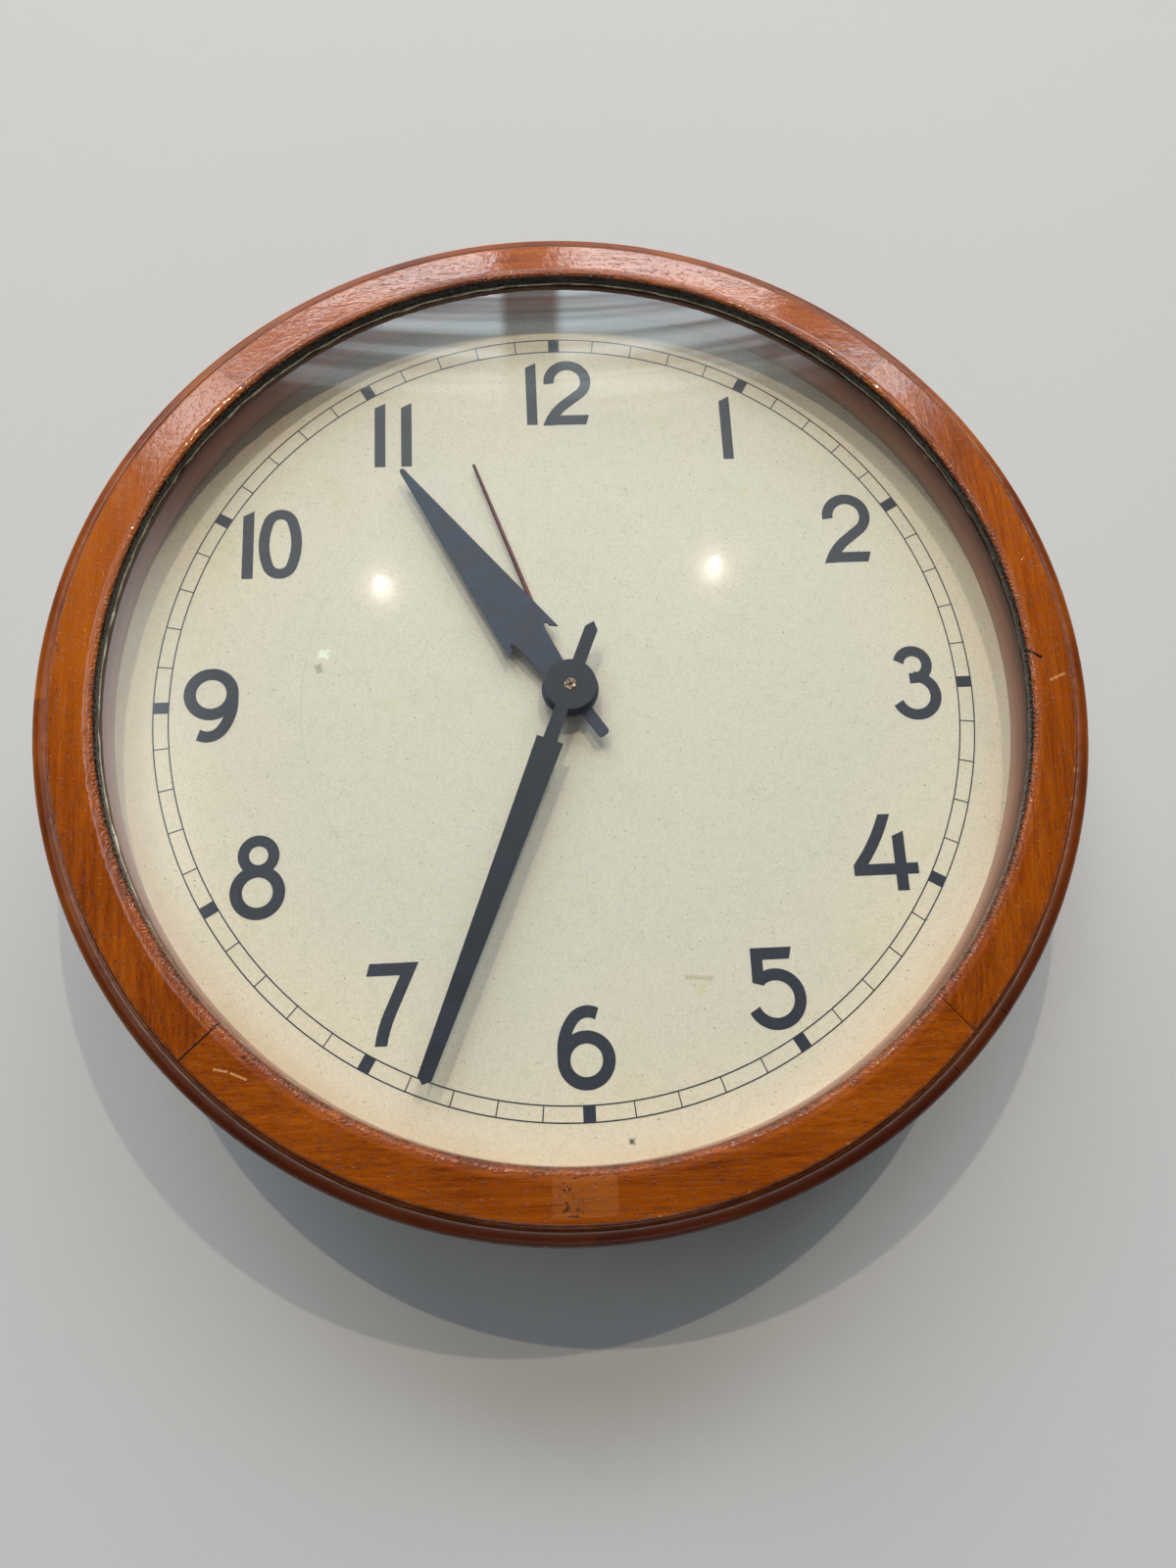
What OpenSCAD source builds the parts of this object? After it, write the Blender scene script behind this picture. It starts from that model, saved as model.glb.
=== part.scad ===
// Factory wall clock with a laminated wooden bezel, a glazed dial and a mains synchronous movement.
// It lies on its back: +Z points out of the dial, +Y to twelve o'clock and +X to three o'clock.
// The origin is the centre of the flat back face. All sizes are millimetres.

/* [Bezel] */
// Diameter of the sight opening
sight_d = 305; // [285:1:325]
// Width of the wooden face, seen from the front
face_w = 16.6; // [14:0.2:22]
// How much lower the face is at its outer edge than at the sight edge
face_drop = 4.1; // [2:0.1:5]
// Height of the lip over the glazing putty at the sight edge
lip_t = 3.8; // [3:0.1:6]
// Radius of the rounded edge round the sight opening
sight_edge_r = 1.7; // [0.8:0.1:2.2]
// Radius of the rounded edge round the outside of the face
face_edge_r = 1.2; // [0.6:0.1:2]
// Radius of the cove between the face and the bead
cove_r = 1.5; // [0.8:0.1:2]
// Radius of the bead
bead_r = 3.4; // [2:0.1:4.5]
// How far the middle of the bead lies outside the edge of the face
bead_reach = 3.5; // [2.5:0.1:4]
// How far the middle of the bead lies below the joint of the two wooden layers
bead_drop = 3.5; // [2.5:0.1:6]
// How far the surround's side lies outside the edge of the face
surround_step = 1.9; // [1.6:0.1:3]
// Direction of the first butt joint of the face, from three o'clock
face_joint_deg = 45; // [40:1:50]
// Angle that the piece let into the surround takes up
insert_deg = 8.6; // [5:0.2:16]

/* [Glass and dial] */
// Thickness of the glass
glass_t = 3; // [2:0.5:4]
// How far the glass runs under the lip
glass_lap = 3.4; // [2.4:0.2:4]
// Clearance round the glass in its rebate
glass_fit = 0.6; // [0.2:0.1:1]
// Thickness of the putty bed between lip and glass
putty_t = 0.7; // [0.4:0.1:1.5]
// How far the putty stands into the sight opening
putty_show = 0.5; // [0.2:0.1:1]
// Space between the dial and the glass
glass_gap = 13.5; // [13:0.5:18]
// How much wider than the sight opening the liner is, on each side
liner_step = 1.5; // [0.5:0.1:2]
// Thickness of the dial plate
dial_t = 1.2; // [0.8:0.1:2]
// How far the dial runs out past the inside of the liner
dial_lap = 6.5; // [5.5:0.5:7]
// Depth of the rebate behind the dial
dial_rebate = 12; // [9:1:16]
// Number of screws that hold the dial
dial_screws_n = 6; // [4:2:8]

/* [Back box] */
// Thickness of the plywood board behind the surround
board_t = 9; // [6:1:12]
// Diameter of the opening in that board
board_opening_d = 216; // [196:2:224]
// Outer diameter of the bent hoop
hoop_d = 260; // [252:2:290]
// Wall of the hoop
hoop_wall = 9; // [8:0.5:11]
// Length of the hoop between the two boards
hoop_l = 48; // [46:1:60]
// Thickness of the removable back board
back_t = 6; // [6:0.5:9]
// Radius of the rounded edges of the plywood
ply_edge_r = 1.5; // [0.5:0.1:2.5]
// Diameter of the hole that gives reach to the setting knob
knob_hole_d = 34; // [30:1:40]
// Number of screws in the plywood board
board_screws_n = 8; // [4:4:12]
// Number of screws in the back board
back_screws_n = 6; // [4:1:8]
// Bore of the cable bush
bush_bore_d = 7; // [6:0.5:8]

/* [Hanging plate] */
// Width of the brass plate
hanger_w = 60; // [54:1:70]
// Height of the brass plate
hanger_h = 36; // [32:1:40]
// Thickness of the brass plate
hanger_t = 1.6; // [1.2:0.1:2]
// Height of the keyhole's round end over the middle of the clock
hanger_y = 94; // [88:1:96]
// Diameter of the keyhole's round end
keyhole_d = 10; // [8:0.5:12]
// Width of the keyhole's slot
keyhole_slot_w = 5; // [4:0.5:6]
// How far the slot rises over the round end
keyhole_rise = 13; // [10:1:15]

/* [Hands] */
// Thickness of the hour and minute hands
hand_t = 0.9; // [0.6:0.1:1.2]
// Length of the hour hand from the middle to its tip
hour_l = 102; // [80:1:110]
// Distance across the barbs of the hour hand
hour_barb_w = 20.4; // [16:0.2:24]
// Distance of the barbs from the middle
hour_barb_y = 21; // [18:0.5:26]
// Diameter of the hour hand's disc
hour_disc_d = 19.4; // [16:0.2:22]
// Length of the minute hand from the middle to its tip
minute_l = 137; // [110:1:142]
// Width of the minute hand at its shoulder
minute_w = 9.2; // [7:0.2:12]
// Width of the minute hand where its point starts
minute_tip_w = 4.6; // [3:0.2:6]
// Diameter of the minute hand's disc
minute_disc_d = 17.6; // [15:0.2:20]
// Length of the seconds hand from the middle to its tip
seconds_l = 93.6; // [70:0.2:110]
// Diameter of the seconds hand's wire at its tip
seconds_wire_d = 1.1; // [0.8:0.1:1.4]
// Diameter of the seconds hand's wire at the middle
seconds_root_d = 1.9; // [1.5:0.1:2.2]
// Clockwise angle of the hour hand from twelve, as it stands
hour_deg = 326.2; // [0:0.1:360]
// Clockwise angle of the minute hand from twelve, as it stands
minute_deg = 201.8; // [0:0.1:360]
// Clockwise angle of the seconds hand from twelve, as it stands
seconds_deg = 340.6; // [0:0.1:360]

/* [Movement] */
// Diameter of the centre arbor
arbor_d = 2.8; // [2.4:0.1:3]
// Wall of each pipe round the arbor
pipe_wall = 0.65; // [0.5:0.05:0.7]
// Radial clearance of everything that turns
run_fit = 0.05; // [0.02:0.01:0.08]
// Distance from the centre arbor to the transmission arbor
train_a = 34; // [34:0.5:38]
// Distance from the centre arbor to the minute wheel's post
motion_a = 16; // [15:0.5:18]
// Direction from the transmission arbor to the motor, from three o'clock
motor_deg = 180; // [170:1:190]
// Thickness of the brass plates
plate_t = 2; // [1.5:0.1:2.5]
// Space between the front and back plates
plate_gap = 16; // [15:0.5:18]
// Space between the front plate and the bridge
bridge_gap = 11; // [11:0.1:12]
// Space between the back board and the motor
motor_room = 2; // [0.5:0.5:3]
// Thickness of the large wheels
wheel_t = 1.4; // [1:0.1:1.6]
// Diameter of the motor
motor_d = 42; // [36:1:46]
// Depth of the motor
motor_t = 18; // [14:0.5:18]
// Diameter of the setting knob
knob_d = 19; // [14:1:22]

/* [Hidden] */

$fn = 96;
// Overrun of every cutting tool past the face that it cuts
CUT = 0.5;
// Steps in a small round of a moulding
ARC_STEPS = 8;

// Radii of the case, from the sight opening outwards
sight_r = sight_d / 2;
face_r = sight_r + face_w;
liner_r = sight_r + liner_step;
glass_r = sight_r + glass_lap;
rebate_r = glass_r + glass_fit;
dial_r = liner_r + dial_lap;
DIAL_FIT = 0.5;
dial_seat_r = dial_r + DIAL_FIT;
surround_r = face_r + surround_step;
hoop_r = hoop_d / 2;
hoop_in_r = hoop_r - hoop_wall;

// Heights over the back face
z_hoop = back_t;
z_board = z_hoop + hoop_l;
z_surround = z_board + board_t;
z_dial = z_surround + dial_rebate;
z_glass = z_dial + glass_gap;
z_putty = z_glass + glass_t;
z_lip = z_putty + putty_t;
z_face = z_lip + lip_t;
z_dial_back = z_dial - dial_t;

// Heights in the movement, which hangs from the dial by its feet, with the motor just over the back board
z_motor = z_hoop + motor_room;
z_back = z_motor + motor_t;
z_front = z_back + plate_t + plate_gap + plate_t;
z_bridge = z_front + bridge_gap;
z_tube = z_bridge + plate_t;
foot_l = z_dial_back - z_front;

// Heights of the hands over the dial
SECONDS_H = 2.4;
HOUR_H = 5.3;
MINUTE_H = 10.3;
TIP_H = 11.3;
z_seconds = z_dial + SECONDS_H;
z_hour = z_dial + HOUR_H;
z_minute = z_dial + MINUTE_H;

// The pipes, one round the other
arbor_r = arbor_d / 2;
hour_pipe_in = arbor_r + run_fit;
hour_pipe_r = hour_pipe_in + pipe_wall;
tube_in = hour_pipe_r + run_fit;
tube_r = tube_in + pipe_wall;
seconds_pipe_in = tube_r + run_fit;
seconds_pipe_r = seconds_pipe_in + pipe_wall;
DIAL_HOLE_FIT = 0.8;
ARBOR_TIP_R = 0.75;

// Numbers of teeth: 60 turns of the seconds hand and a twelfth of the hour hand to 1 of the minute hand
SECONDS_TEETH = 16;
TRANSMISSION_TEETH = 96;
TRANSMISSION_LEAVES = 10;
CENTRE_TEETH = 100;
CANNON_LEAVES = 12;
MINUTE_TEETH = 36;
MINUTE_LEAVES = 12;
HOUR_TEETH = 48;
fast_mod = 2 * train_a / (SECONDS_TEETH + TRANSMISSION_TEETH);
slow_mod = 2 * train_a / (TRANSMISSION_LEAVES + CENTRE_TEETH);
cannon_mod = 2 * motion_a / (CANNON_LEAVES + MINUTE_TEETH);
hour_mod = 2 * motion_a / (MINUTE_LEAVES + HOUR_TEETH);
// Height of a tooth over the pitch circle and depth below it, in modules
ADDENDUM = 0.75;
DEDENDUM = 1.1;
// Where the rounded end of a tooth bends over, and the widths there and at the tip, as shares of the tooth
SHOULDER = 0.55;
SHOULDER_WIDTH = 0.72;
TIP_WIDTH = 0.34;
// Share of the tooth that is taken off as play
PLAY = 0.2;

// Places of the arbors, and the direction of the first tooth of each wheel
TRAIN_DEG = 90;
MOTION_DEG = 0;
train_at = polar(train_a, TRAIN_DEG);
motion_at = polar(motion_a, MOTION_DEG);
motor_at = train_at + polar(train_a, motor_deg);
seconds_phase = TRAIN_DEG;
transmission_phase = mesh_phase(SECONDS_TEETH, seconds_phase, TRANSMISSION_TEETH, TRAIN_DEG);
drive_phase = mesh_phase(TRANSMISSION_TEETH, transmission_phase, SECONDS_TEETH, motor_deg);
leaf_phase = TRAIN_DEG + 180;
centre_phase = mesh_phase(TRANSMISSION_LEAVES, leaf_phase, CENTRE_TEETH, TRAIN_DEG + 180);
cannon_phase = MOTION_DEG;
minute_phase = mesh_phase(CANNON_LEAVES, cannon_phase, MINUTE_TEETH, MOTION_DEG);
minute_leaf_phase = MOTION_DEG + 180;
hour_phase = mesh_phase(MINUTE_LEAVES, minute_leaf_phase, HOUR_TEETH, MOTION_DEG + 180);

// Layers of the wheels, over the plate that carries each
PINION_LIFT = 1.3;
FAST_PINION_T = 5;
FAST_WHEEL_LIFT = 3.1;
CANNON_LIFT = 1;
CANNON_T = 4.8;
MINUTE_WHEEL_LIFT = 2.2;
HOUR_WHEEL_LIFT = 6.6;
MINUTE_PINION_TOP = 9.4;
CENTRE_WHEEL_LIFT = 6.3;
SLOW_PINION_LIFT = 3;
SLOW_PINION_T = 8;

// Outlines of the plates: places of the left, right, lower and upper edges
PLATE_RIGHT = 44;
PLATE_LOW = -40;
PLATE_PAST_MOTOR = 26;
PLATE_OVER_MOTOR = 34;
motor_top_y = max(train_at[1], motor_at[1]);
PLATE = [motor_at[0] - PLATE_PAST_MOTOR, PLATE_RIGHT, PLATE_LOW, motor_top_y + PLATE_OVER_MOTOR];
PLATE_CORNER_R = 8;
PLATE_INSET = 7;
PILLAR_R = 4;
BRIDGE_HALF = 24;
BRIDGE_PAST_MOTOR = 12;
BRIDGE = [motor_at[0] - BRIDGE_PAST_MOTOR, BRIDGE_HALF, -BRIDGE_HALF, motor_top_y + BRIDGE_PAST_MOTOR];
BRIDGE_CORNER_R = 5;
BRIDGE_INSET = 5;
BRIDGE_PILLAR_R = 3;
FOOT_R = 3.5;
FOOT_LOW_Y = -12;
FOOT_OVER_TRAIN = 10;
FOOT_Y = [FOOT_LOW_Y, train_at[1] + FOOT_OVER_TRAIN];
FOOT_STUD_R = 1.5;

// Screws: head radius, head height, shank radius, length
WOOD_SCREW = [3.6, 2.6, 1.9, 22];
BACK_SCREW = [3.2, 2.2, 1.6, 18];
HANGER_SCREW = [2.2, 1.4, 1.1, 5.4];
DIAL_SCREW = [2.3, 1.4, 1.2, 9];
PLATE_SCREW = [3, 1.6, 1.5, 6];
BRIDGE_SCREW = [2.6, 1.4, 1.2, 5];
SCREW_FIT = 0.05;
SCREW_POINT_R = 0.2;
SLOT_W = 0.8;
SLOT_SHARE = 0.4;

// Terminal block and leads
BLOCK = [40, 16, 12];
BLOCK_Y = -95;
LEAD_R = 1.1;
LEAD_LIFT = 6;
LEAD_BEND = 12;
LEAD_PITCH = 10;
LEAD_TURN_Y = -60;

function polar(r, a) = [r * cos(a), r * sin(a)];

// Points along an arc, for the small rounds of a moulding
function arc_points(mid, r, from_deg, to_deg) =
    [for (i = [0 : ARC_STEPS]) mid + polar(r, from_deg + (to_deg - from_deg) * i / ARC_STEPS)];

// Direction of the first tooth of a wheel that meshes with another one lying in direction dir from it
function mesh_phase(teeth, phase, other, dir) =
    let (pitch = 360 / teeth, off = dir - phase - pitch * round((dir - phase) / pitch))
    dir + 180 + off * teeth / other + 180 / other;

// Half of one tooth, from root to tip, as pairs of radius and angle
function half_tooth(teeth, mod) =
    let (r = teeth * mod / 2, half = 90 / teeth * (1 - PLAY))
    [[r - DEDENDUM * mod, half], [r, half], [r + SHOULDER * ADDENDUM * mod, SHOULDER_WIDTH * half],
     [r + ADDENDUM * mod, TIP_WIDTH * half]];

function gear_points(teeth, mod) =
    let (side = half_tooth(teeth, mod), last = len(side) - 1)
    [for (i = [0 : teeth - 1]) each concat(
        [for (k = [0 : last]) polar(side[k][0], i * 360 / teeth - side[k][1])],
        [for (k = [last : -1 : 0]) polar(side[k][0], i * 360 / teeth + side[k][1])])];

// Centres of the four corners of an outline, set in from its edges
function corners(outline, inset) = [
    for (x = [outline[0] + inset, outline[1] - inset])
        for (y = [outline[2] + inset, outline[3] - inset]) [x, y]];

function foot_places() = [for (x = [PLATE[0] + PLATE_INSET, PLATE[1] - PLATE_INSET], y = FOOT_Y) [x, y]];

// Parts of a turned ring: a tube between two radii and two heights
module tube(r_in, r_out, z_low, z_high) {
    translate([0, 0, z_low]) difference() {
        cylinder(h = z_high - z_low, r = r_out);
        translate([0, 0, -CUT]) cylinder(h = z_high - z_low + 2 * CUT, r = r_in);
    }
}

module at(place, z = 0) {
    translate([place[0], place[1], z]) children();
}

module around(count, first = 0) {
    for (i = [0 : count - 1]) rotate([0, 0, first + i * 360 / count]) children();
}

// Part of a ring with a given profile, from one direction to another
module arc_piece(from_deg, to_deg) {
    rotate([0, 0, from_deg]) rotate_extrude(angle = to_deg - from_deg) children();
}

// Countersunk screw that points up, with its head flush with z = 0
module countersunk(screw) {
    difference() {
        union() {
            cylinder(h = screw[1], r1 = screw[0], r2 = screw[2]);
            cylinder(h = screw[3] - screw[2], r = screw[2]);
            translate([0, 0, screw[3] - screw[2]])
                cylinder(h = screw[2], r1 = screw[2], r2 = SCREW_POINT_R);
        }
        translate([-screw[0], -SLOT_W / 2, -CUT]) cube([2 * screw[0], SLOT_W, CUT + SLOT_SHARE * screw[1]]);
    }
}

module countersunk_hole(screw) {
    translate([0, 0, -CUT]) cylinder(h = CUT, r = screw[0] + SCREW_FIT);
    cylinder(h = screw[1], r1 = screw[0] + SCREW_FIT, r2 = screw[2] + SCREW_FIT);
    cylinder(h = screw[3] + SCREW_FIT, r = screw[2] + SCREW_FIT);
}

// Cheese-head screw that points up, with its head below z = 0
module cheese_head(screw) {
    difference() {
        union() {
            translate([0, 0, -screw[1]]) cylinder(h = screw[1], r = screw[0]);
            cylinder(h = screw[3], r = screw[2]);
        }
        translate([-screw[0], -SLOT_W / 2, -screw[1] - CUT])
            cube([2 * screw[0], SLOT_W, CUT + SLOT_SHARE * screw[1]]);
    }
}

module rounded_outline(outline, r) {
    for (c = corners(outline, r)) translate(c) circle(r);
    translate([outline[0] + r, outline[2]])
        square([outline[1] - outline[0] - 2 * r, outline[3] - outline[2]]);
    translate([outline[0], outline[2] + r])
        square([outline[1] - outline[0], outline[3] - outline[2] - 2 * r]);
}

// Bezel

// Line of the face: its height at a radius
face_slope = atan(face_drop / face_w);
function face_z(r) = z_face - (r - sight_r) * tan(face_slope);

module bezel_profile() {
    inner_at = [sight_r + sight_edge_r, face_z(sight_r + sight_edge_r) - sight_edge_r / cos(face_slope)];
    outer_at = [face_r - face_edge_r, face_z(face_r - face_edge_r) - face_edge_r / cos(face_slope)];
    cove_at = [face_r + cove_r, z_glass + cove_r];
    polygon(concat(
        [[sight_r, z_lip]],
        arc_points(inner_at, sight_edge_r, 180, 90 - face_slope),
        arc_points(outer_at, face_edge_r, 90 - face_slope, 0),
        arc_points(cove_at, cove_r, 180, 270),
        [[rebate_r, z_glass], [rebate_r, z_lip]]));
}

module bezel_piece(quarter) {
    arc_piece(face_joint_deg + 90 * quarter, face_joint_deg + 90 * (quarter + 1)) bezel_profile();
}

module bezel_top() color("sienna") bezel_piece(0);
module bezel_left() color("peru") bezel_piece(1);
module bezel_bottom() color("sienna") bezel_piece(2);
module bezel_right() color("peru") bezel_piece(3);

// Surround: the layer behind the bezel, with the bead and the rebate for the dial

SURROUND_EDGE_R = 2;
BOARD_SCREW_FIRST = 22.5;
DIAL_SCREW_FIRST = 22.5;
insert_mid = face_joint_deg + 270;
board_screw_r = (dial_seat_r + surround_r) / 2;
dial_screw_r = (rebate_r + dial_r) / 2;

module surround_profile() {
    difference() {
        union() {
            translate([rebate_r, z_surround])
                square([surround_r - rebate_r, z_glass - z_surround]);
            translate([face_r + bead_reach, z_glass - bead_drop]) circle(bead_r);
        }
        translate([rebate_r - CUT, z_surround - CUT])
            square([dial_seat_r - rebate_r + CUT, dial_rebate + CUT]);
        difference() {
            translate([surround_r - SURROUND_EDGE_R, z_surround - CUT])
                square([SURROUND_EDGE_R + CUT, SURROUND_EDGE_R + CUT]);
            translate([surround_r - SURROUND_EDGE_R, z_surround + SURROUND_EDGE_R]) circle(SURROUND_EDGE_R);
        }
    }
}

module surround_holes() {
    around(board_screws_n, BOARD_SCREW_FIRST) at([board_screw_r, 0], z_board) countersunk_hole(WOOD_SCREW);
    around(dial_screws_n, DIAL_SCREW_FIRST) at([dial_screw_r, 0], z_dial_back)
        cylinder(h = DIAL_SCREW[3] + SCREW_FIT, r = DIAL_SCREW[2] + SCREW_FIT);
}

module surround_piece(from_deg, to_deg) {
    difference() {
        arc_piece(from_deg, to_deg) surround_profile();
        surround_holes();
    }
}

insert_from = insert_mid - insert_deg / 2;
insert_to = insert_mid + insert_deg / 2;

module surround_upper_right() color("saddlebrown") surround_piece(insert_to - 360, 90);
module surround_upper_left() color("chocolate") surround_piece(90, 180);
module surround_lower_left() color("saddlebrown") surround_piece(180, 270);
module surround_lower_right() color("chocolate") surround_piece(270, insert_from);
module surround_insert() color("peru") surround_piece(insert_from, insert_to);

LINER_FIT = 0.2;
module reveal_liner() color("rosybrown") tube(liner_r, rebate_r - LINER_FIT, z_dial, z_glass);

module glass() color("lightcyan", 0.35) translate([0, 0, z_glass]) cylinder(h = glass_t, r = glass_r);

// Putty bed, with its squeezed-out edge
module glazing_putty() color("antiquewhite") rotate_extrude() {
    translate([sight_r, z_putty]) square([glass_lap, putty_t]);
    translate([sight_r, z_putty]) intersection() {
        circle(putty_show);
        translate([-putty_show, 0]) square([putty_show, putty_t]);
    }
}

// Dial

module dial_plate() color("ivory") difference() {
    translate([0, 0, z_dial_back]) cylinder(h = dial_t, r = dial_r);
    translate([0, 0, z_dial_back - CUT]) cylinder(h = dial_t + 2 * CUT, r = seconds_pipe_r + DIAL_HOLE_FIT);
    around(dial_screws_n, DIAL_SCREW_FIRST) at([dial_screw_r, 0], z_dial_back - CUT)
        cylinder(h = dial_t + 2 * CUT, r = DIAL_SCREW[2] + SCREW_FIT);
}

module dial_screws() color("goldenrod")
    around(dial_screws_n, DIAL_SCREW_FIRST) at([dial_screw_r, 0], z_dial_back) cheese_head(DIAL_SCREW);

// Back box

module mounting_board() color("burlywood") difference() {
    rotate_extrude() difference() {
        translate([board_opening_d / 2, z_board]) square([surround_r - board_opening_d / 2, board_t]);
        outer_round(surround_r, z_board);
    }
    around(board_screws_n, BOARD_SCREW_FIRST) at([board_screw_r, 0], z_board) countersunk_hole(WOOD_SCREW);
}

// What a rounded lower edge takes off a profile, at the corner with this radius and height
module outer_round(r, z) {
    difference() {
        translate([r - ply_edge_r, z - CUT]) square([ply_edge_r + CUT, ply_edge_r + CUT]);
        translate([r - ply_edge_r, z + ply_edge_r]) circle(ply_edge_r);
    }
}

module board_screws() color("slategray")
    around(board_screws_n, BOARD_SCREW_FIRST) at([board_screw_r, 0], z_board) countersunk(WOOD_SCREW);

BACK_SCREW_FIRST = 60;
back_screw_r = hoop_r - hoop_wall / 2;
BUSH_WALL = 2;
BUSH_FLANGE_R = 8;
BUSH_FLANGE_T = 2.5;
BUSH_OVER = 2;
BUSH_SINK = 0.6;
BUSH_Z = 20;
bush_z = z_hoop + BUSH_Z;
bush_r = bush_bore_d / 2 + BUSH_WALL;
bush_seat_y = -hoop_r + BUSH_SINK;

module box_hoop() color("sienna") difference() {
    tube(hoop_in_r, hoop_r, z_hoop, z_board);
    around(back_screws_n, BACK_SCREW_FIRST) at([back_screw_r, 0], 0) countersunk_hole(BACK_SCREW);
    translate([0, bush_seat_y, bush_z]) rotate([90, 0, 0])
        cylinder(h = 2 * BUSH_SINK, r = BUSH_FLANGE_R + BUSH_SINK);
    translate([0, bush_seat_y + hoop_wall + BUSH_OVER, bush_z]) rotate([90, 0, 0])
        cylinder(h = hoop_wall + 2 * BUSH_OVER, r = bush_r + SCREW_FIT);
}

BLOCKS_N = 8;
GLUE_BLOCK = [11, 26, 12];
module glue_blocks() color("burlywood") around(BLOCKS_N) intersection() {
    translate([hoop_in_r - GLUE_BLOCK[0], -GLUE_BLOCK[1] / 2, z_board - GLUE_BLOCK[2]])
        cube(GLUE_BLOCK + [CUT, 0, 0]);
    translate([0, 0, z_board - GLUE_BLOCK[2]]) cylinder(h = GLUE_BLOCK[2], r = hoop_in_r);
}

KEYHOLE_ROOM = 2;
HANGER_SCREW_X = 6;
HANGER_SCREW_Y = 7;
HANGER_MID_RISE = 5;
hanger_mid = hanger_y + HANGER_MID_RISE;
hanger_screw_at = [for (x = [-1, 1], y = [-1, 1])
    [x * (hanger_w / 2 - HANGER_SCREW_X), hanger_mid + y * (hanger_h / 2 - HANGER_SCREW_Y)]];

// Keyhole outline, larger all round by grow
module keyhole(grow) {
    translate([0, hanger_y]) circle(keyhole_d / 2 + grow);
    translate([-keyhole_slot_w / 2 - grow, hanger_y]) square([keyhole_slot_w + 2 * grow, keyhole_rise]);
    translate([0, hanger_y + keyhole_rise]) circle(keyhole_slot_w / 2 + grow);
}

HANGER_CORNER_R = 4;
function hanger_outline(grow) = [-hanger_w / 2 - grow, hanger_w / 2 + grow,
                                 hanger_mid - hanger_h / 2 - grow, hanger_mid + hanger_h / 2 + grow];

module back_board() color("burlywood") difference() {
    rotate_extrude() difference() {
        translate([knob_hole_d / 2, 0]) square([hoop_r - knob_hole_d / 2, back_t]);
        outer_round(hoop_r, 0);
    }
    around(back_screws_n, BACK_SCREW_FIRST) at([back_screw_r, 0], 0) countersunk_hole(BACK_SCREW);
    translate([0, 0, -CUT]) linear_extrude(CUT + hanger_t)
        rounded_outline(hanger_outline(SCREW_FIT), HANGER_CORNER_R + SCREW_FIT);
    translate([0, 0, -CUT]) linear_extrude(back_t + 2 * CUT) keyhole(KEYHOLE_ROOM);
    for (p = hanger_screw_at) at(p, 0) countersunk_hole(HANGER_SCREW);
}

module back_board_screws() color("slategray")
    around(back_screws_n, BACK_SCREW_FIRST) at([back_screw_r, 0], 0) countersunk(BACK_SCREW);

module hanging_plate() color("darkgoldenrod") difference() {
    linear_extrude(hanger_t) difference() {
        rounded_outline(hanger_outline(0), HANGER_CORNER_R);
        keyhole(0);
    }
    for (p = hanger_screw_at) at(p, 0) countersunk_hole(HANGER_SCREW);
}

module hanging_plate_screws() color("slategray")
    for (p = hanger_screw_at) at(p, 0) countersunk(HANGER_SCREW);

module cable_bush() color("dimgray") translate([0, bush_seat_y, bush_z]) rotate([90, 0, 0]) difference() {
    union() {
        cylinder(h = BUSH_FLANGE_T, r = BUSH_FLANGE_R);
        translate([0, 0, -hoop_wall - BUSH_OVER + BUSH_SINK])
            cylinder(h = hoop_wall + BUSH_OVER, r = bush_r);
    }
    translate([0, 0, -hoop_wall - BUSH_OVER - CUT])
        cylinder(h = hoop_wall + BUSH_OVER + BUSH_FLANGE_T + 2 * CUT, r = bush_bore_d / 2);
}

TERMINAL_SCREW = [3, 2, 1.5, 4.5];
z_block = back_t + BLOCK[2];

module terminal_block() color("saddlebrown") difference() {
    translate([-BLOCK[0] / 2, BLOCK_Y - BLOCK[1] / 2, back_t]) cube(BLOCK);
    for (i = [0, 1]) {
        at([lead_x(i), BLOCK_Y], z_block - TERMINAL_SCREW[3])
            cylinder(h = TERMINAL_SCREW[3] + CUT, r = TERMINAL_SCREW[2] + SCREW_FIT);
        lead_start_hole(i);
    }
}

module lead_start_hole(i) {
    translate([lead_x(i), BLOCK_Y, lead_z]) rotate([-90, 0, 0])
        cylinder(h = BLOCK[1] / 2 + CUT, r = LEAD_R + SCREW_FIT);
}

module terminal_screws() color("gold") for (i = [0, 1])
    at([lead_x(i), BLOCK_Y], z_block) mirror([0, 0, 1]) cheese_head(TERMINAL_SCREW);

// Leads from the terminal block to the motor, in one level

TAG = [17, 8, 7];
tag_y = motor_at[1] - motor_d / 2 - TAG[1] / 2;
lead_z = back_t + LEAD_LIFT;
function lead_x(i) = LEAD_PITCH / 2 - i * LEAD_PITCH;
function lead_end_x(i) = motor_at[0] + LEAD_PITCH / 2 - i * LEAD_PITCH;

module lead_bend() {
    rotate_extrude(angle = 90) translate([LEAD_BEND, 0]) circle(LEAD_R);
}

module lead_run(from, length, deg) {
    translate([from[0], from[1], lead_z]) rotate([0, 0, deg]) rotate([0, 90, 0])
        cylinder(h = length, r = LEAD_R);
}

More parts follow.
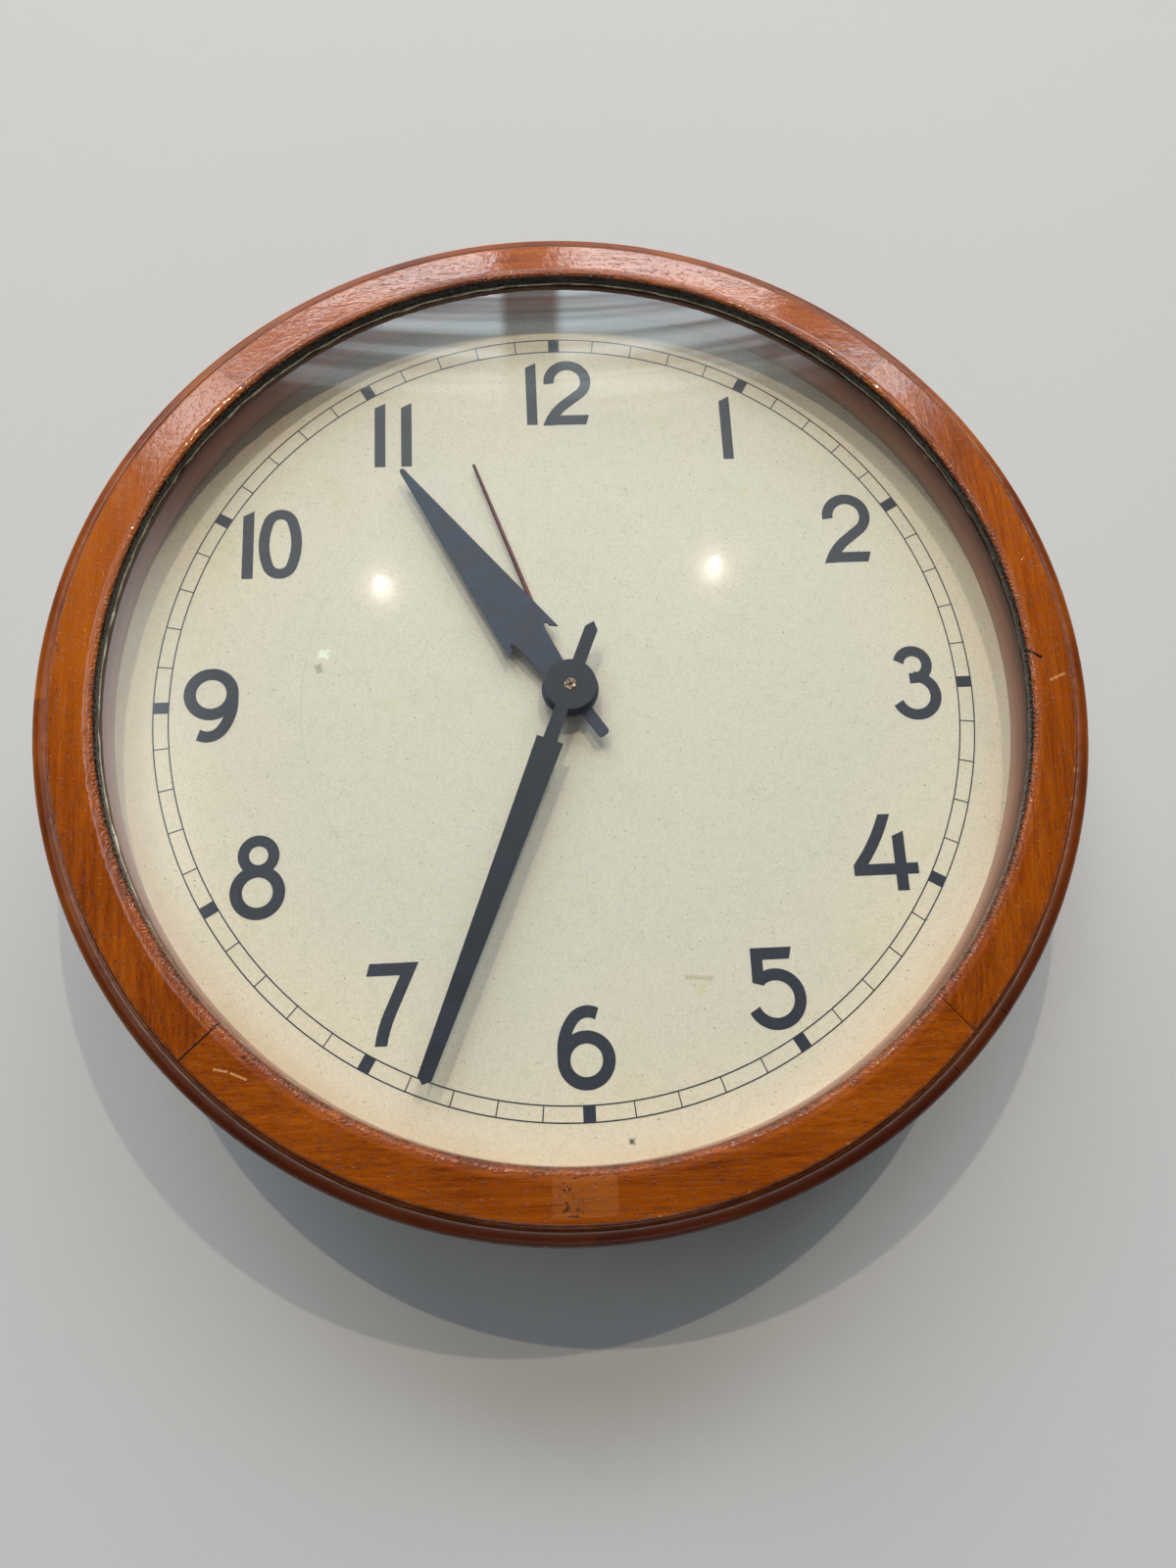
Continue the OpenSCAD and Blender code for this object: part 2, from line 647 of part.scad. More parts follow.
module motor_lead(i) {
    turn_y = LEAD_TURN_Y - i * LEAD_PITCH;
    lead_run([lead_x(i), BLOCK_Y], turn_y - BLOCK_Y, 90);
    translate([lead_x(i) - LEAD_BEND, turn_y, lead_z]) lead_bend();
    lead_run([lead_end_x(i) + LEAD_BEND, turn_y + LEAD_BEND], lead_x(i) - lead_end_x(i) - 2 * LEAD_BEND, 0);
    translate([lead_end_x(i) + LEAD_BEND, turn_y + 2 * LEAD_BEND, lead_z]) rotate([0, 0, 180]) lead_bend();
    lead_run([lead_end_x(i), turn_y + 2 * LEAD_BEND], tag_y - turn_y - 2 * LEAD_BEND, 90);
}

module motor_leads() color("firebrick") for (i = [0, 1]) motor_lead(i);

// Frame of the movement

pillar_at = corners(PLATE, PLATE_INSET);
bridge_pillar_at = corners(BRIDGE, BRIDGE_INSET);
PIVOT_R = 0.8;
TRANSMISSION_R = 1.5;
SHAFT_R = 1.5;
SHAFT_ROOM = 0.8;
EAR_W = 10;
MOTOR_EAR_Y = motor_d / 2 + EAR_W / 2;
EAR_T = 2;
motor_ear_at = [for (y = [-MOTOR_EAR_Y, MOTOR_EAR_Y]) motor_at + [0, y]];

module plate_blank(z) {
    translate([0, 0, z]) linear_extrude(plate_t) rounded_outline(PLATE, PLATE_CORNER_R);
}

module drill(places, r, z) {
    for (p = places) at(p, z - CUT) cylinder(h = plate_t + 2 * CUT, r = r);
}

module front_plate() color("goldenrod") difference() {
    plate_blank(z_front - plate_t);
    drill([[0, 0]], arbor_r + run_fit, z_front - plate_t);
    drill([train_at, motor_at], SHAFT_R + SHAFT_ROOM, z_front - plate_t);
    drill([motion_at], POST_R, z_front - plate_t);
    drill(pillar_at, PLATE_SCREW[2] + SCREW_FIT, z_front - plate_t);
    drill(bridge_pillar_at, BRIDGE_SCREW[2] + SCREW_FIT, z_front - plate_t);
    drill(foot_places(), FOOT_STUD_R + SCREW_FIT, z_front - plate_t);
}

module back_plate() color("goldenrod") difference() {
    plate_blank(z_back);
    drill([[0, 0]], arbor_r + run_fit, z_back);
    drill([train_at], PIVOT_R + run_fit, z_back);
    drill([motor_at], SHAFT_R + SHAFT_ROOM, z_back);
    drill(pillar_at, PLATE_SCREW[2] + SCREW_FIT, z_back);
    drill(motor_ear_at, PLATE_SCREW[2] + SCREW_FIT, z_back);
}

// Turned pillar with a waist
module pillar(length, r, bore_r) {
    WAIST = 0.72;
    FOOT_SHARE = 0.16;
    difference() {
        union() {
            cylinder(h = length, r = WAIST * r);
            cylinder(h = FOOT_SHARE * length, r = r);
            translate([0, 0, (1 - FOOT_SHARE) * length]) cylinder(h = FOOT_SHARE * length, r = r);
        }
        translate([0, 0, -CUT]) cylinder(h = length + 2 * CUT, r = bore_r + SCREW_FIT);
    }
}

module plate_pillars() color("darkgoldenrod") for (p = pillar_at)
    at(p, z_back + plate_t) pillar(plate_gap, PILLAR_R, PLATE_SCREW[2]);

module plate_screws() color("slategray") for (p = pillar_at) {
    at(p, z_back) cheese_head(PLATE_SCREW);
    at(p, z_front) mirror([0, 0, 1]) cheese_head(PLATE_SCREW);
}

module bridge_plate() color("gold") difference() {
    translate([0, 0, z_bridge]) linear_extrude(plate_t) rounded_outline(BRIDGE, BRIDGE_CORNER_R);
    drill([[0, 0]], tube_r, z_bridge);
    drill([train_at], TRANSMISSION_R + run_fit, z_bridge);
    drill([motor_at], SHAFT_R + run_fit, z_bridge);
    drill(bridge_pillar_at, BRIDGE_SCREW[2] + SCREW_FIT, z_bridge);
}

module bridge_pillars() color("darkgoldenrod") for (p = bridge_pillar_at)
    at(p, z_front) pillar(bridge_gap, BRIDGE_PILLAR_R, BRIDGE_SCREW[2]);

module bridge_screws() color("slategray") for (p = bridge_pillar_at) {
    at(p, z_front - plate_t) cheese_head(BRIDGE_SCREW);
    at(p, z_tube) mirror([0, 0, 1]) cheese_head(BRIDGE_SCREW);
}

TUBE_FLANGE_R = 6;
TUBE_FLANGE_T = 1;
TUBE_TOP_H = 3.6;
module centre_tube() color("gold") {
    tube(tube_in, tube_r, z_bridge, z_dial + TUBE_TOP_H);
    tube(tube_r, TUBE_FLANGE_R, z_tube, z_tube + TUBE_FLANGE_T);
}

POST_R = 1;
POST_SHOULDER_R = 2.4;
POST_SHOULDER_T = 2;
POST_PAST = 0.6;
module minute_wheel_post() color("silver") at(motion_at, 0) {
    translate([0, 0, z_front - plate_t]) cylinder(h = plate_t + MINUTE_PINION_TOP + POST_PAST, r = POST_R);
    translate([0, 0, z_front]) cylinder(h = POST_SHOULDER_T, r = POST_SHOULDER_R);
}

FOOT_FLANGE_R = 6;
FOOT_FLANGE_T = 0.8;
STUD_PAST = 1;
module dial_feet() color("darkgoldenrod") for (p = foot_places()) at(p, z_front) {
    cylinder(h = foot_l, r = FOOT_R);
    translate([0, 0, foot_l - FOOT_FLANGE_T]) cylinder(h = FOOT_FLANGE_T, r = FOOT_FLANGE_R);
    translate([0, 0, -plate_t - NUT_T - STUD_PAST])
        cylinder(h = plate_t + NUT_T + STUD_PAST, r = FOOT_STUD_R);
}

NUT_R = 3.2;
NUT_T = 2.4;
module foot_nut() difference() {
    cylinder(h = NUT_T, r = NUT_R, $fn = 6);
    translate([0, 0, -CUT]) cylinder(h = NUT_T + 2 * CUT, r = FOOT_STUD_R);
}

module dial_feet_nuts() color("slategray")
    for (p = foot_places()) at(p, z_front - plate_t - NUT_T) foot_nut();

// Sealed motor with its reduction gear, held to the back plate by two ears
MOTOR_EDGE_R = 2;
MOTOR_STEP = 1.2;
SHAFT_SEAT = 3;

module motor_body() color("lightslategray") difference() {
    union() {
        at(motor_at, 0) rotate_extrude() difference() {
            translate([0, z_motor]) square([motor_d / 2, motor_t]);
            difference() {
                translate([motor_d / 2 - MOTOR_EDGE_R, z_motor - CUT])
                    square([MOTOR_EDGE_R + CUT, MOTOR_EDGE_R + CUT]);
                translate([motor_d / 2 - MOTOR_EDGE_R, z_motor + MOTOR_EDGE_R]) circle(MOTOR_EDGE_R);
            }
            translate([motor_d / 2 - MOTOR_STEP, z_motor + motor_t / 2])
                square([MOTOR_STEP + CUT, MOTOR_STEP]);
        }
        translate([0, 0, z_back - EAR_T]) linear_extrude(EAR_T) {
            for (p = motor_ear_at) translate(p) circle(EAR_W / 2);
            translate(motor_at - [EAR_W / 2, MOTOR_EAR_Y]) square([EAR_W, 2 * MOTOR_EAR_Y]);
        }
        translate([motor_at[0] - TAG[0] / 2, tag_y - TAG[1] / 2, lead_z - TAG[2] / 2])
            cube([TAG[0], TAG[1] + MOTOR_STEP, TAG[2]]);
    }
    drill_ears();
    at(motor_at, z_back - SHAFT_SEAT) cylinder(h = SHAFT_SEAT + CUT, r = SHAFT_R + run_fit);
    for (i = [0, 1]) translate([lead_end_x(i), tag_y - TAG[1] / 2 - CUT, lead_z]) rotate([-90, 0, 0])
        cylinder(h = TAG[1] / 2 + CUT + SCREW_FIT, r = LEAD_R + SCREW_FIT);
}

module drill_ears() {
    for (p = motor_ear_at) at(p, z_back - EAR_T - CUT)
        cylinder(h = EAR_T + 2 * CUT, r = PLATE_SCREW[2] + SCREW_FIT);
}

module motor_screws() color("silver") for (p = motor_ear_at)
    at(p, z_back - EAR_T) cheese_head([PLATE_SCREW[0], PLATE_SCREW[1], PLATE_SCREW[2], EAR_T + plate_t]);

// Wheels and pinions

module gear(teeth, mod, phase, z, t, bore_r) {
    translate([0, 0, z]) linear_extrude(t) rotate(phase) difference() {
        polygon(gear_points(teeth, mod));
        circle(bore_r);
    }
}

// Middle of a wheel: radius of the hub, number of spokes, width of a spoke
CENTRE_SPOKES = [8, 5, 4];
FAST_SPOKES = [7, 5, 4];
MOTION_SPOKES = [4.6, 4, 2.4];
// Depth of the rim below the pitch circle, in modules
RIM = 3.2;

module wheel_outline(teeth, mod, spokes) {
    rim_r = (teeth / 2 - RIM) * mod;
    difference() {
        polygon(gear_points(teeth, mod));
        difference() {
            circle(rim_r);
            circle(spokes[0]);
            for (i = [1 : spokes[1]]) rotate(i * 360 / spokes[1]) translate([0, -spokes[2] / 2])
                square([rim_r + CUT, spokes[2]]);
        }
    }
}

// Wheel with a rim, straight spokes and a hub, which is its radius and how far it stands out below and above
module spoked_wheel(teeth, mod, phase, z, bore_r, spokes, hub = [0, 0, 0]) {
    z_low = z - hub[1];
    length = hub[1] + wheel_t + hub[2];
    difference() {
        union() {
            translate([0, 0, z]) linear_extrude(wheel_t) rotate(phase) wheel_outline(teeth, mod, spokes);
            if (hub[0] > 0) translate([0, 0, z_low]) cylinder(h = length, r = hub[0]);
        }
        translate([0, 0, z_low - CUT]) cylinder(h = length + 2 * CUT, r = bore_r);
    }
}

HUB_R = 5;
HUB_T = 2.6;
COLLAR_R = 3.6;
COLLAR_T = 1.6;
SPRING_R = 8;
SPRING_T = 0.4;
SPRING_RISE = 1.1;
KNOB_Z = 1;
KNOB_T = 8;
ARBOR_FOOT = 1.6;
z_centre_wheel = z_back + plate_t + CENTRE_WHEEL_LIFT;
z_spring = z_centre_wheel + wheel_t;
z_collar = z_spring + SPRING_RISE + SPRING_T;
TIP_L = 2.4;

module centre_arbor() color("silver") {
    translate([0, 0, ARBOR_FOOT]) cylinder(h = z_dial + TIP_H - TIP_L - ARBOR_FOOT, r = arbor_r);
    translate([0, 0, z_dial + TIP_H - TIP_L]) cylinder(h = TIP_L, r = ARBOR_TIP_R);
    translate([0, 0, z_collar]) cylinder(h = COLLAR_T, r = COLLAR_R);
}

module centre_wheel() color("goldenrod") spoked_wheel(
    CENTRE_TEETH, slow_mod, centre_phase, z_centre_wheel, arbor_r, CENTRE_SPOKES, [HUB_R, HUB_T, 0]);

// Cup washer that lets the hands be set while the train stands
module friction_spring() color("gold") rotate_extrude() polygon([
    [arbor_r, z_spring + SPRING_RISE], [SPRING_R, z_spring], [SPRING_R, z_spring + SPRING_T],
    [arbor_r, z_collar]]);

module cannon_pinion() color("darkgoldenrod")
    gear(CANNON_LEAVES, cannon_mod, cannon_phase, z_front + CANNON_LIFT, CANNON_T, arbor_r);

KNURLS = 24;
KNURL_R = 0.8;
module setting_knob() color("dimgray") difference() {
    translate([0, 0, KNOB_Z]) cylinder(h = KNOB_T, r = knob_d / 2);
    translate([0, 0, ARBOR_FOOT]) cylinder(h = KNOB_T, r = arbor_r);
    around(KNURLS) translate([knob_d / 2 + KNURL_R / 2, 0, KNOB_Z - CUT])
        cylinder(h = KNOB_T + 2 * CUT, r = KNURL_R);
}

// Hands, drawn pointing to twelve

BARB_NOTCH_X = 7;
BARB_NOTCH_RISE = 2.7;
BARB_NOTCH_R = 0.9;
HOUR_TIP_R = 0.95;
HOUR_STEM_W = 6;
HOUR_NECK_W = 12.4;
HOUR_TAIL = 20.1;
HOUR_TAIL_W = 4;
HOUR_TAIL_R = 1.3;
MINUTE_NECK_W = 4.8;
MINUTE_STEM_W = 4.3;
MINUTE_SHOULDER_Y = 20.6;
MINUTE_POINT = 2;
MINUTE_TAIL = 24.1;
MINUTE_TAIL_W = 4.5;
MINUTE_TAIL_POINT = 2.7;
BUSH_TOP_R = 2;
BUSH_PROUD = 0.3;

module hour_outline() {
    notch_y = hour_barb_y + BARB_NOTCH_RISE;
    hour_tip_y = hour_l - HOUR_TIP_R;
    circle(hour_disc_d / 2);
    difference() {
        polygon([[hour_barb_w / 2, hour_barb_y], [HOUR_TIP_R, hour_tip_y], [-HOUR_TIP_R, hour_tip_y],
                 [-hour_barb_w / 2, hour_barb_y], [-BARB_NOTCH_X, notch_y], [BARB_NOTCH_X, notch_y]]);
        for (x = [-BARB_NOTCH_X, BARB_NOTCH_X]) translate([x, notch_y]) circle(BARB_NOTCH_R);
    }
    translate([0, hour_tip_y]) circle(HOUR_TIP_R);
    polygon([[-HOUR_STEM_W / 2, 0], [HOUR_STEM_W / 2, 0], [HOUR_NECK_W / 2, notch_y + BARB_NOTCH_R],
             [-HOUR_NECK_W / 2, notch_y + BARB_NOTCH_R]]);
    rounded_outline([-HOUR_TAIL_W / 2, HOUR_TAIL_W / 2, -HOUR_TAIL, 0], HOUR_TAIL_R);
}

module minute_outline() {
    tail_y = -MINUTE_TAIL + MINUTE_TAIL_POINT;
    circle(minute_disc_d / 2);
    polygon([[-MINUTE_STEM_W / 2, 0], [MINUTE_STEM_W / 2, 0], [MINUTE_NECK_W / 2, MINUTE_SHOULDER_Y],
             [minute_w / 2, MINUTE_SHOULDER_Y], [minute_tip_w / 2, minute_l - MINUTE_POINT], [0, minute_l],
             [-minute_tip_w / 2, minute_l - MINUTE_POINT], [-minute_w / 2, MINUTE_SHOULDER_Y],
             [-MINUTE_NECK_W / 2, MINUTE_SHOULDER_Y]]);
    polygon([[-MINUTE_TAIL_W / 2, 0], [-MINUTE_TAIL_W / 2, tail_y], [0, -MINUTE_TAIL],
             [MINUTE_TAIL_W / 2, tail_y], [MINUTE_TAIL_W / 2, 0]]);
}

module flat_hand(z, deg, bore_r) {
    translate([0, 0, z]) rotate([0, 0, -deg]) linear_extrude(hand_t) difference() {
        children();
        circle(bore_r);
    }
}

module minute_hand() color("darkslategray") flat_hand(z_minute, minute_deg, BUSH_TOP_R) minute_outline();
module hour_hand() color("darkslategray") flat_hand(z_hour, hour_deg, hour_pipe_r) hour_outline();

MINUTE_BUSH_R = 4.6;
MINUTE_BUSH_L = 3.1;
module minute_hand_bush() color("gold") difference() {
    union() {
        translate([0, 0, z_minute - MINUTE_BUSH_L]) cylinder(h = MINUTE_BUSH_L, r = MINUTE_BUSH_R);
        translate([0, 0, z_minute]) cylinder(h = hand_t + BUSH_PROUD, r = BUSH_TOP_R);
    }
    translate([0, 0, z_minute - MINUTE_BUSH_L - CUT]) {
        cylinder(h = z_dial + TIP_H - TIP_L - z_minute + MINUTE_BUSH_L + CUT, r = arbor_r);
        cylinder(h = MINUTE_BUSH_L + hand_t + BUSH_PROUD + 2 * CUT, r = ARBOR_TIP_R);
    }
}

HOUR_COLLET_R = 5;
HOUR_COLLET_T = 1.1;
HOUR_PIPE_TOP_H = 6.6;
module hour_hand_collet() color("darkgoldenrod")
    tube(hour_pipe_r, HOUR_COLLET_R, z_hour - HOUR_COLLET_T, z_hour);
module hour_pipe() color("gold")
    tube(hour_pipe_in, hour_pipe_r, z_front + HOUR_WHEEL_LIFT, z_dial + HOUR_PIPE_TOP_H);

HOUR_HUB_R = 4;
HOUR_HUB_T = 2;
module hour_wheel() color("goldenrod") spoked_wheel(
    HOUR_TEETH, hour_mod, hour_phase, z_front + HOUR_WHEEL_LIFT, hour_pipe_r, MOTION_SPOKES,
    [HOUR_HUB_R, 0, HOUR_HUB_T]);

SECONDS_DISC_R = 6.5;
SECONDS_DISC_T = 0.8;
SECONDS_PIPE_TOP_H = 3;

// Half of the tapered wire, with its round tip
module seconds_profile() {
    tip_r = seconds_wire_d / 2;
    polygon(concat([[0, 0], [seconds_root_d / 2, 0]], arc_points([0, seconds_l - tip_r], tip_r, 0, 90)));
}

module seconds_hand() color("maroon") rotate([0, 0, -seconds_deg]) difference() {
    union() {
        translate([0, 0, z_seconds - SECONDS_DISC_T / 2]) cylinder(h = SECONDS_DISC_T, r = SECONDS_DISC_R);
        translate([0, 0, z_seconds]) rotate([-90, 0, 0]) rotate_extrude() seconds_profile();
    }
    translate([0, 0, z_dial]) cylinder(h = 2 * SECONDS_H, r = seconds_pipe_r);
}

module seconds_pipe() color("gold")
    tube(seconds_pipe_in, seconds_pipe_r, z_tube + PINION_LIFT, z_dial + SECONDS_PIPE_TOP_H);
module seconds_pinion() color("silver")
    gear(SECONDS_TEETH, fast_mod, seconds_phase, z_tube + PINION_LIFT, FAST_PINION_T, seconds_pipe_r);

module minute_wheel() color("goldenrod") at(motion_at, 0) spoked_wheel(
    MINUTE_TEETH, cannon_mod, minute_phase, z_front + MINUTE_WHEEL_LIFT, POST_R + run_fit, MOTION_SPOKES);
module minute_pinion() color("silver") at(motion_at, 0) gear(
    MINUTE_LEAVES, hour_mod, minute_leaf_phase, z_front + MINUTE_WHEEL_LIFT + wheel_t,
    MINUTE_PINION_TOP - MINUTE_WHEEL_LIFT - wheel_t, POST_R + run_fit);

TRANSMISSION_HUB_R = 4.5;
TRANSMISSION_HUB_T = 1.6;
ARBOR_END_PLAY = 0.3;
ARBOR_PAST = 1;
z_fast_wheel = z_tube + FAST_WHEEL_LIFT;
module transmission_arbor() color("silver") at(train_at, 0) {
    z_shoulder = z_back + plate_t + ARBOR_END_PLAY;
    z_end = z_fast_wheel + wheel_t + ARBOR_PAST;
    translate([0, 0, z_back]) cylinder(h = z_shoulder - z_back, r = PIVOT_R);
    translate([0, 0, z_shoulder]) cylinder(h = z_end - z_shoulder, r = TRANSMISSION_R);
}
module transmission_wheel() color("goldenrod") at(train_at, 0) spoked_wheel(
    TRANSMISSION_TEETH, fast_mod, transmission_phase, z_fast_wheel, TRANSMISSION_R, FAST_SPOKES,
    [TRANSMISSION_HUB_R, TRANSMISSION_HUB_T, 0]);
module transmission_pinion() color("silver") at(train_at, 0) gear(
    TRANSMISSION_LEAVES, slow_mod, leaf_phase, z_back + plate_t + SLOW_PINION_LIFT, SLOW_PINION_T,
    TRANSMISSION_R);

module motor_shaft() color("silver") at(motor_at, 0)
    translate([0, 0, z_back - SHAFT_SEAT + run_fit])
        cylinder(h = z_tube + PINION_LIFT + FAST_PINION_T + SHAFT_SEAT - z_back, r = SHAFT_R);
module drive_pinion() color("silver") at(motor_at, 0) gear(
    SECONDS_TEETH, fast_mod, drive_phase, z_tube + PINION_LIFT, FAST_PINION_T, SHAFT_R);

bezel_top();
bezel_left();
bezel_bottom();
bezel_right();
surround_upper_right();
surround_upper_left();
surround_lower_left();
surround_lower_right();
surround_insert();
reveal_liner();
glass();
glazing_putty();
dial_plate();
dial_screws();
mounting_board();
board_screws();
box_hoop();
glue_blocks();
back_board();
back_board_screws();
hanging_plate();
hanging_plate_screws();
cable_bush();
terminal_block();
terminal_screws();
motor_leads();
front_plate();
back_plate();
plate_pillars();
plate_screws();
bridge_plate();
bridge_pillars();
bridge_screws();
centre_tube();
minute_wheel_post();
dial_feet();
dial_feet_nuts();
motor_body();
motor_screws();
centre_arbor();
minute_hand();
minute_hand_bush();
cannon_pinion();
centre_wheel();
friction_spring();
setting_knob();
hour_hand();
hour_hand_collet();
hour_pipe();
hour_wheel();
seconds_hand();
seconds_pipe();
seconds_pinion();
minute_wheel();
minute_pinion();
transmission_arbor();
transmission_wheel();
transmission_pinion();
motor_shaft();
drive_pinion();
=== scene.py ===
import math
import random

import bmesh
import bpy
from mathutils import Matrix
from mathutils import Vector


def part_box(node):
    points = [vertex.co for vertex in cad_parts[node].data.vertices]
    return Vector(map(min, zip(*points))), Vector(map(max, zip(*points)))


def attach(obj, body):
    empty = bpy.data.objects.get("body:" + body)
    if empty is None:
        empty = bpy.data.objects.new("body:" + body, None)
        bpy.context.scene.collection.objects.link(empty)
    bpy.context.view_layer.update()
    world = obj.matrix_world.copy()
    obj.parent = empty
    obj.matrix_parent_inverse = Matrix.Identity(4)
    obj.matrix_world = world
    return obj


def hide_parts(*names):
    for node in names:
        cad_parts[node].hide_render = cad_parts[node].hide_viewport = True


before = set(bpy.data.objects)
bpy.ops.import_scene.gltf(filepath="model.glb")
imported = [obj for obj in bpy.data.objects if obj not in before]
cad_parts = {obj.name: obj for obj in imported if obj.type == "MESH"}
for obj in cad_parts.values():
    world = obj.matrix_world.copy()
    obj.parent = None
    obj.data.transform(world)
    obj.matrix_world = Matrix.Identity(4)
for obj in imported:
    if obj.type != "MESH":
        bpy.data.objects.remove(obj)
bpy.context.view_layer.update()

bl_info = {
    "name": "Wall clock dressing",
    "version": (1, 0, 0),
    "blender": (4, 5, 0),
    "location": "View3D > Sidebar > Clock",
    "description": "Finishes, dial markings and putty of a round wooden wall clock, with its stage",
    "category": "Object",
}

MM = 0.001
CASE = "clock_case"
DIAL_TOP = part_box("dial_plate")[1].z
GLASS_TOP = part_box("glass")[1].z
PUTTY_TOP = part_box("glazing_putty")[1].z
GLASS_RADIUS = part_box("glass")[1].x


def paint(red, green, blue):
    """A colour given as three screen values from 0 to 255, turned into Blender's linear one."""
    def linear(value):
        share = value / 255
        if share <= 0.04045:
            return share / 12.92
        return ((share + 0.055) / 1.055) ** 2.4

    return (linear(red), linear(green), linear(blue))


def shade(colour, share):
    """A colour made darker by a share."""
    return tuple(part * share for part in colour)


def colour_choice(name, description, default):
    """A colour that a user can change in the panel."""
    return bpy.props.FloatVectorProperty(
        name=name, description=description, default=default, subtype="COLOR", min=0.0, max=1.0
    )


def size_choice(name, description, default):
    """A length that a user can change in the panel."""
    return bpy.props.FloatProperty(
        name=name, description=description, default=default, unit="LENGTH", subtype="DISTANCE", min=0.0
    )


def power_choice(name, description, default):
    """The power of a light, which a user can change in the panel."""
    return bpy.props.FloatProperty(name=name, description=description, default=default, unit="POWER", min=0.0)


class WoodChoices(bpy.types.PropertyGroup):
    """Colours of the clock's wooden pieces."""

    light: colour_choice("Light wood", "Colour of the bezel's pale grain", paint(172, 86, 9))
    middle: colour_choice("Middle wood", "Colour that most of the bezel has", paint(148, 67, 3))
    dark: colour_choice("Dark wood", "Colour of the bezel's dark grain", paint(112, 44, 2))
    pore: colour_choice("Pores", "Colour of the short pores and of the dirt in them", paint(40, 14, 4))
    bare: colour_choice("Bare wood", "Colour where chips show wood without varnish", paint(216, 150, 92))
    hoop: colour_choice("Hoop", "Colour of the bent hoop's stain", paint(118, 60, 28))
    ply: colour_choice("Plywood", "Colour of the plywood's face", paint(206, 162, 108))
    liner: colour_choice("Reveal", "Colour of the paint on the ring behind the glass", paint(178, 122, 101))


class DialChoices(bpy.types.PropertyGroup):
    """Sizes and colours of the dial and its markings."""

    middle: colour_choice("Dial", "Colour of the enamel round the hands", paint(217, 207, 191))
    rim: colour_choice("Dial rim", "Colour of the yellowed enamel at the rim", paint(229, 212, 187))
    ink: colour_choice("Ink", "Colour of numerals and minute track", paint(16, 22, 38))
    track_outer: size_choice("Outer ring", "Radius of the minute track's outer line", 141.35 * MM)
    track_inner: size_choice("Inner ring", "Radius of the minute track's inner line", 136.2 * MM)
    ring_line: size_choice("Ring line", "Width of the two ring lines", 0.45 * MM)
    minute_line: size_choice("Minute line", "Width of a minute line", 0.4 * MM)
    hour_block: size_choice("Hour block", "Width of an hour block", 4.0 * MM)
    stroke: size_choice("Numeral stroke", "Width of the numerals' strokes", 3.9 * MM)
    ink_height: size_choice("Ink height", "How far the ink stands over the enamel", 0.05 * MM)


class MetalChoices(bpy.types.PropertyGroup):
    """Colours of hands, metalwork and electrics."""

    hand: colour_choice("Hands", "Colour of the matt paint on the hands", paint(31, 40, 64))
    seconds: colour_choice("Seconds hand", "Colour of the seconds hand", paint(96, 34, 34))
    brass: colour_choice("Brass", "Colour of plates, wheels and bushes", (0.72, 0.51, 0.22))
    steel: colour_choice("Steel", "Colour of arbors, pinions and screws", (0.56, 0.56, 0.55))
    bakelite: colour_choice("Bakelite", "Colour of knob and terminal block", paint(62, 34, 24))
    motor: colour_choice("Motor", "Colour of the motor's enamel", paint(112, 116, 118))
    lead: colour_choice("Lead", "Colour of the motor leads", paint(142, 36, 30))
    putty: colour_choice("Putty", "Colour of the old putty at the glass", paint(232, 226, 204))


class StageChoices(bpy.types.PropertyGroup):
    """Floor, light and camera."""

    floor: colour_choice("Floor", "Colour of the floor", paint(192, 187, 186))
    lens: bpy.props.FloatProperty(
        name="Lens", description="Focal length of the camera", default=24.35, unit="CAMERA", min=1.0
    )
    key_power: power_choice("Key light", "Power of the light from the 12, half that from the 6", 2.0)
    lamp_power: power_choice("Lamps", "Power of each of the two small warm lamps", 12.5)
    fill_strength: bpy.props.FloatProperty(
        name="Fill light", description="Brightness of the wall towards the 12", default=0.22, min=0.0
    )


def deselect_all():
    """Leaves no object selected, so that an operator acts on the new piece alone."""
    if bpy.context.object and bpy.context.object.mode != "OBJECT":
        bpy.ops.object.mode_set(mode="OBJECT")
    bpy.ops.object.select_all(action="DESELECT")


def make_active(piece):
    """Selects one object and nothing else."""
    deselect_all()
    piece.select_set(True)
    bpy.context.view_layer.objects.active = piece


def select_vertices(piece, wanted):
    """In edit mode, selects just the vertices for which wanted(position) is true."""
    mesh = bmesh.from_edit_mesh(piece.data)
    for vertex in mesh.verts:
        vertex.select = bool(wanted(vertex.co))
    mesh.select_flush_mode()
    bmesh.update_edit_mesh(piece.data)


def apply_modifier(piece, kind, **settings):
    """Adds a modifier to a piece and applies it."""
    make_active(piece)
    bpy.ops.object.modifier_add(type=kind)
    modifier = piece.modifiers[-1]
    for setting, value in settings.items():
        setattr(modifier, setting, value)
    bpy.ops.object.modifier_apply(modifier=modifier.name)


def placed_copy(source, name, shift=(0.0, 0.0), turn=0.0):
    """A copy of a flat piece with its own mesh, turned and then moved on the dial."""
    piece = source.copy()
    piece.data = source.data.copy()
    piece.name = name
    bpy.context.scene.collection.objects.link(piece)
    piece.data.transform(Matrix.Translation((*shift, 0.0)) @ Matrix.Rotation(turn, 4, "Z"))
    return piece


def join_pieces(pieces, name):
    """One object out of several, with its place in its mesh."""
    make_active(pieces[0])
    for piece in pieces[1:]:
        piece.select_set(True)
    bpy.ops.object.join()
    joined = bpy.context.object
    joined.name = name
    joined.data.name = name
    return joined


def fuse(pieces, name):
    """The exact union of closed pieces."""
    whole = pieces[0]
    for piece in pieces[1:]:
        apply_modifier(whole, "BOOLEAN", operation="UNION", solver="EXACT", object=piece)
        bpy.data.objects.remove(piece)
    whole.name = name
    whole.data.name = name
    return whole


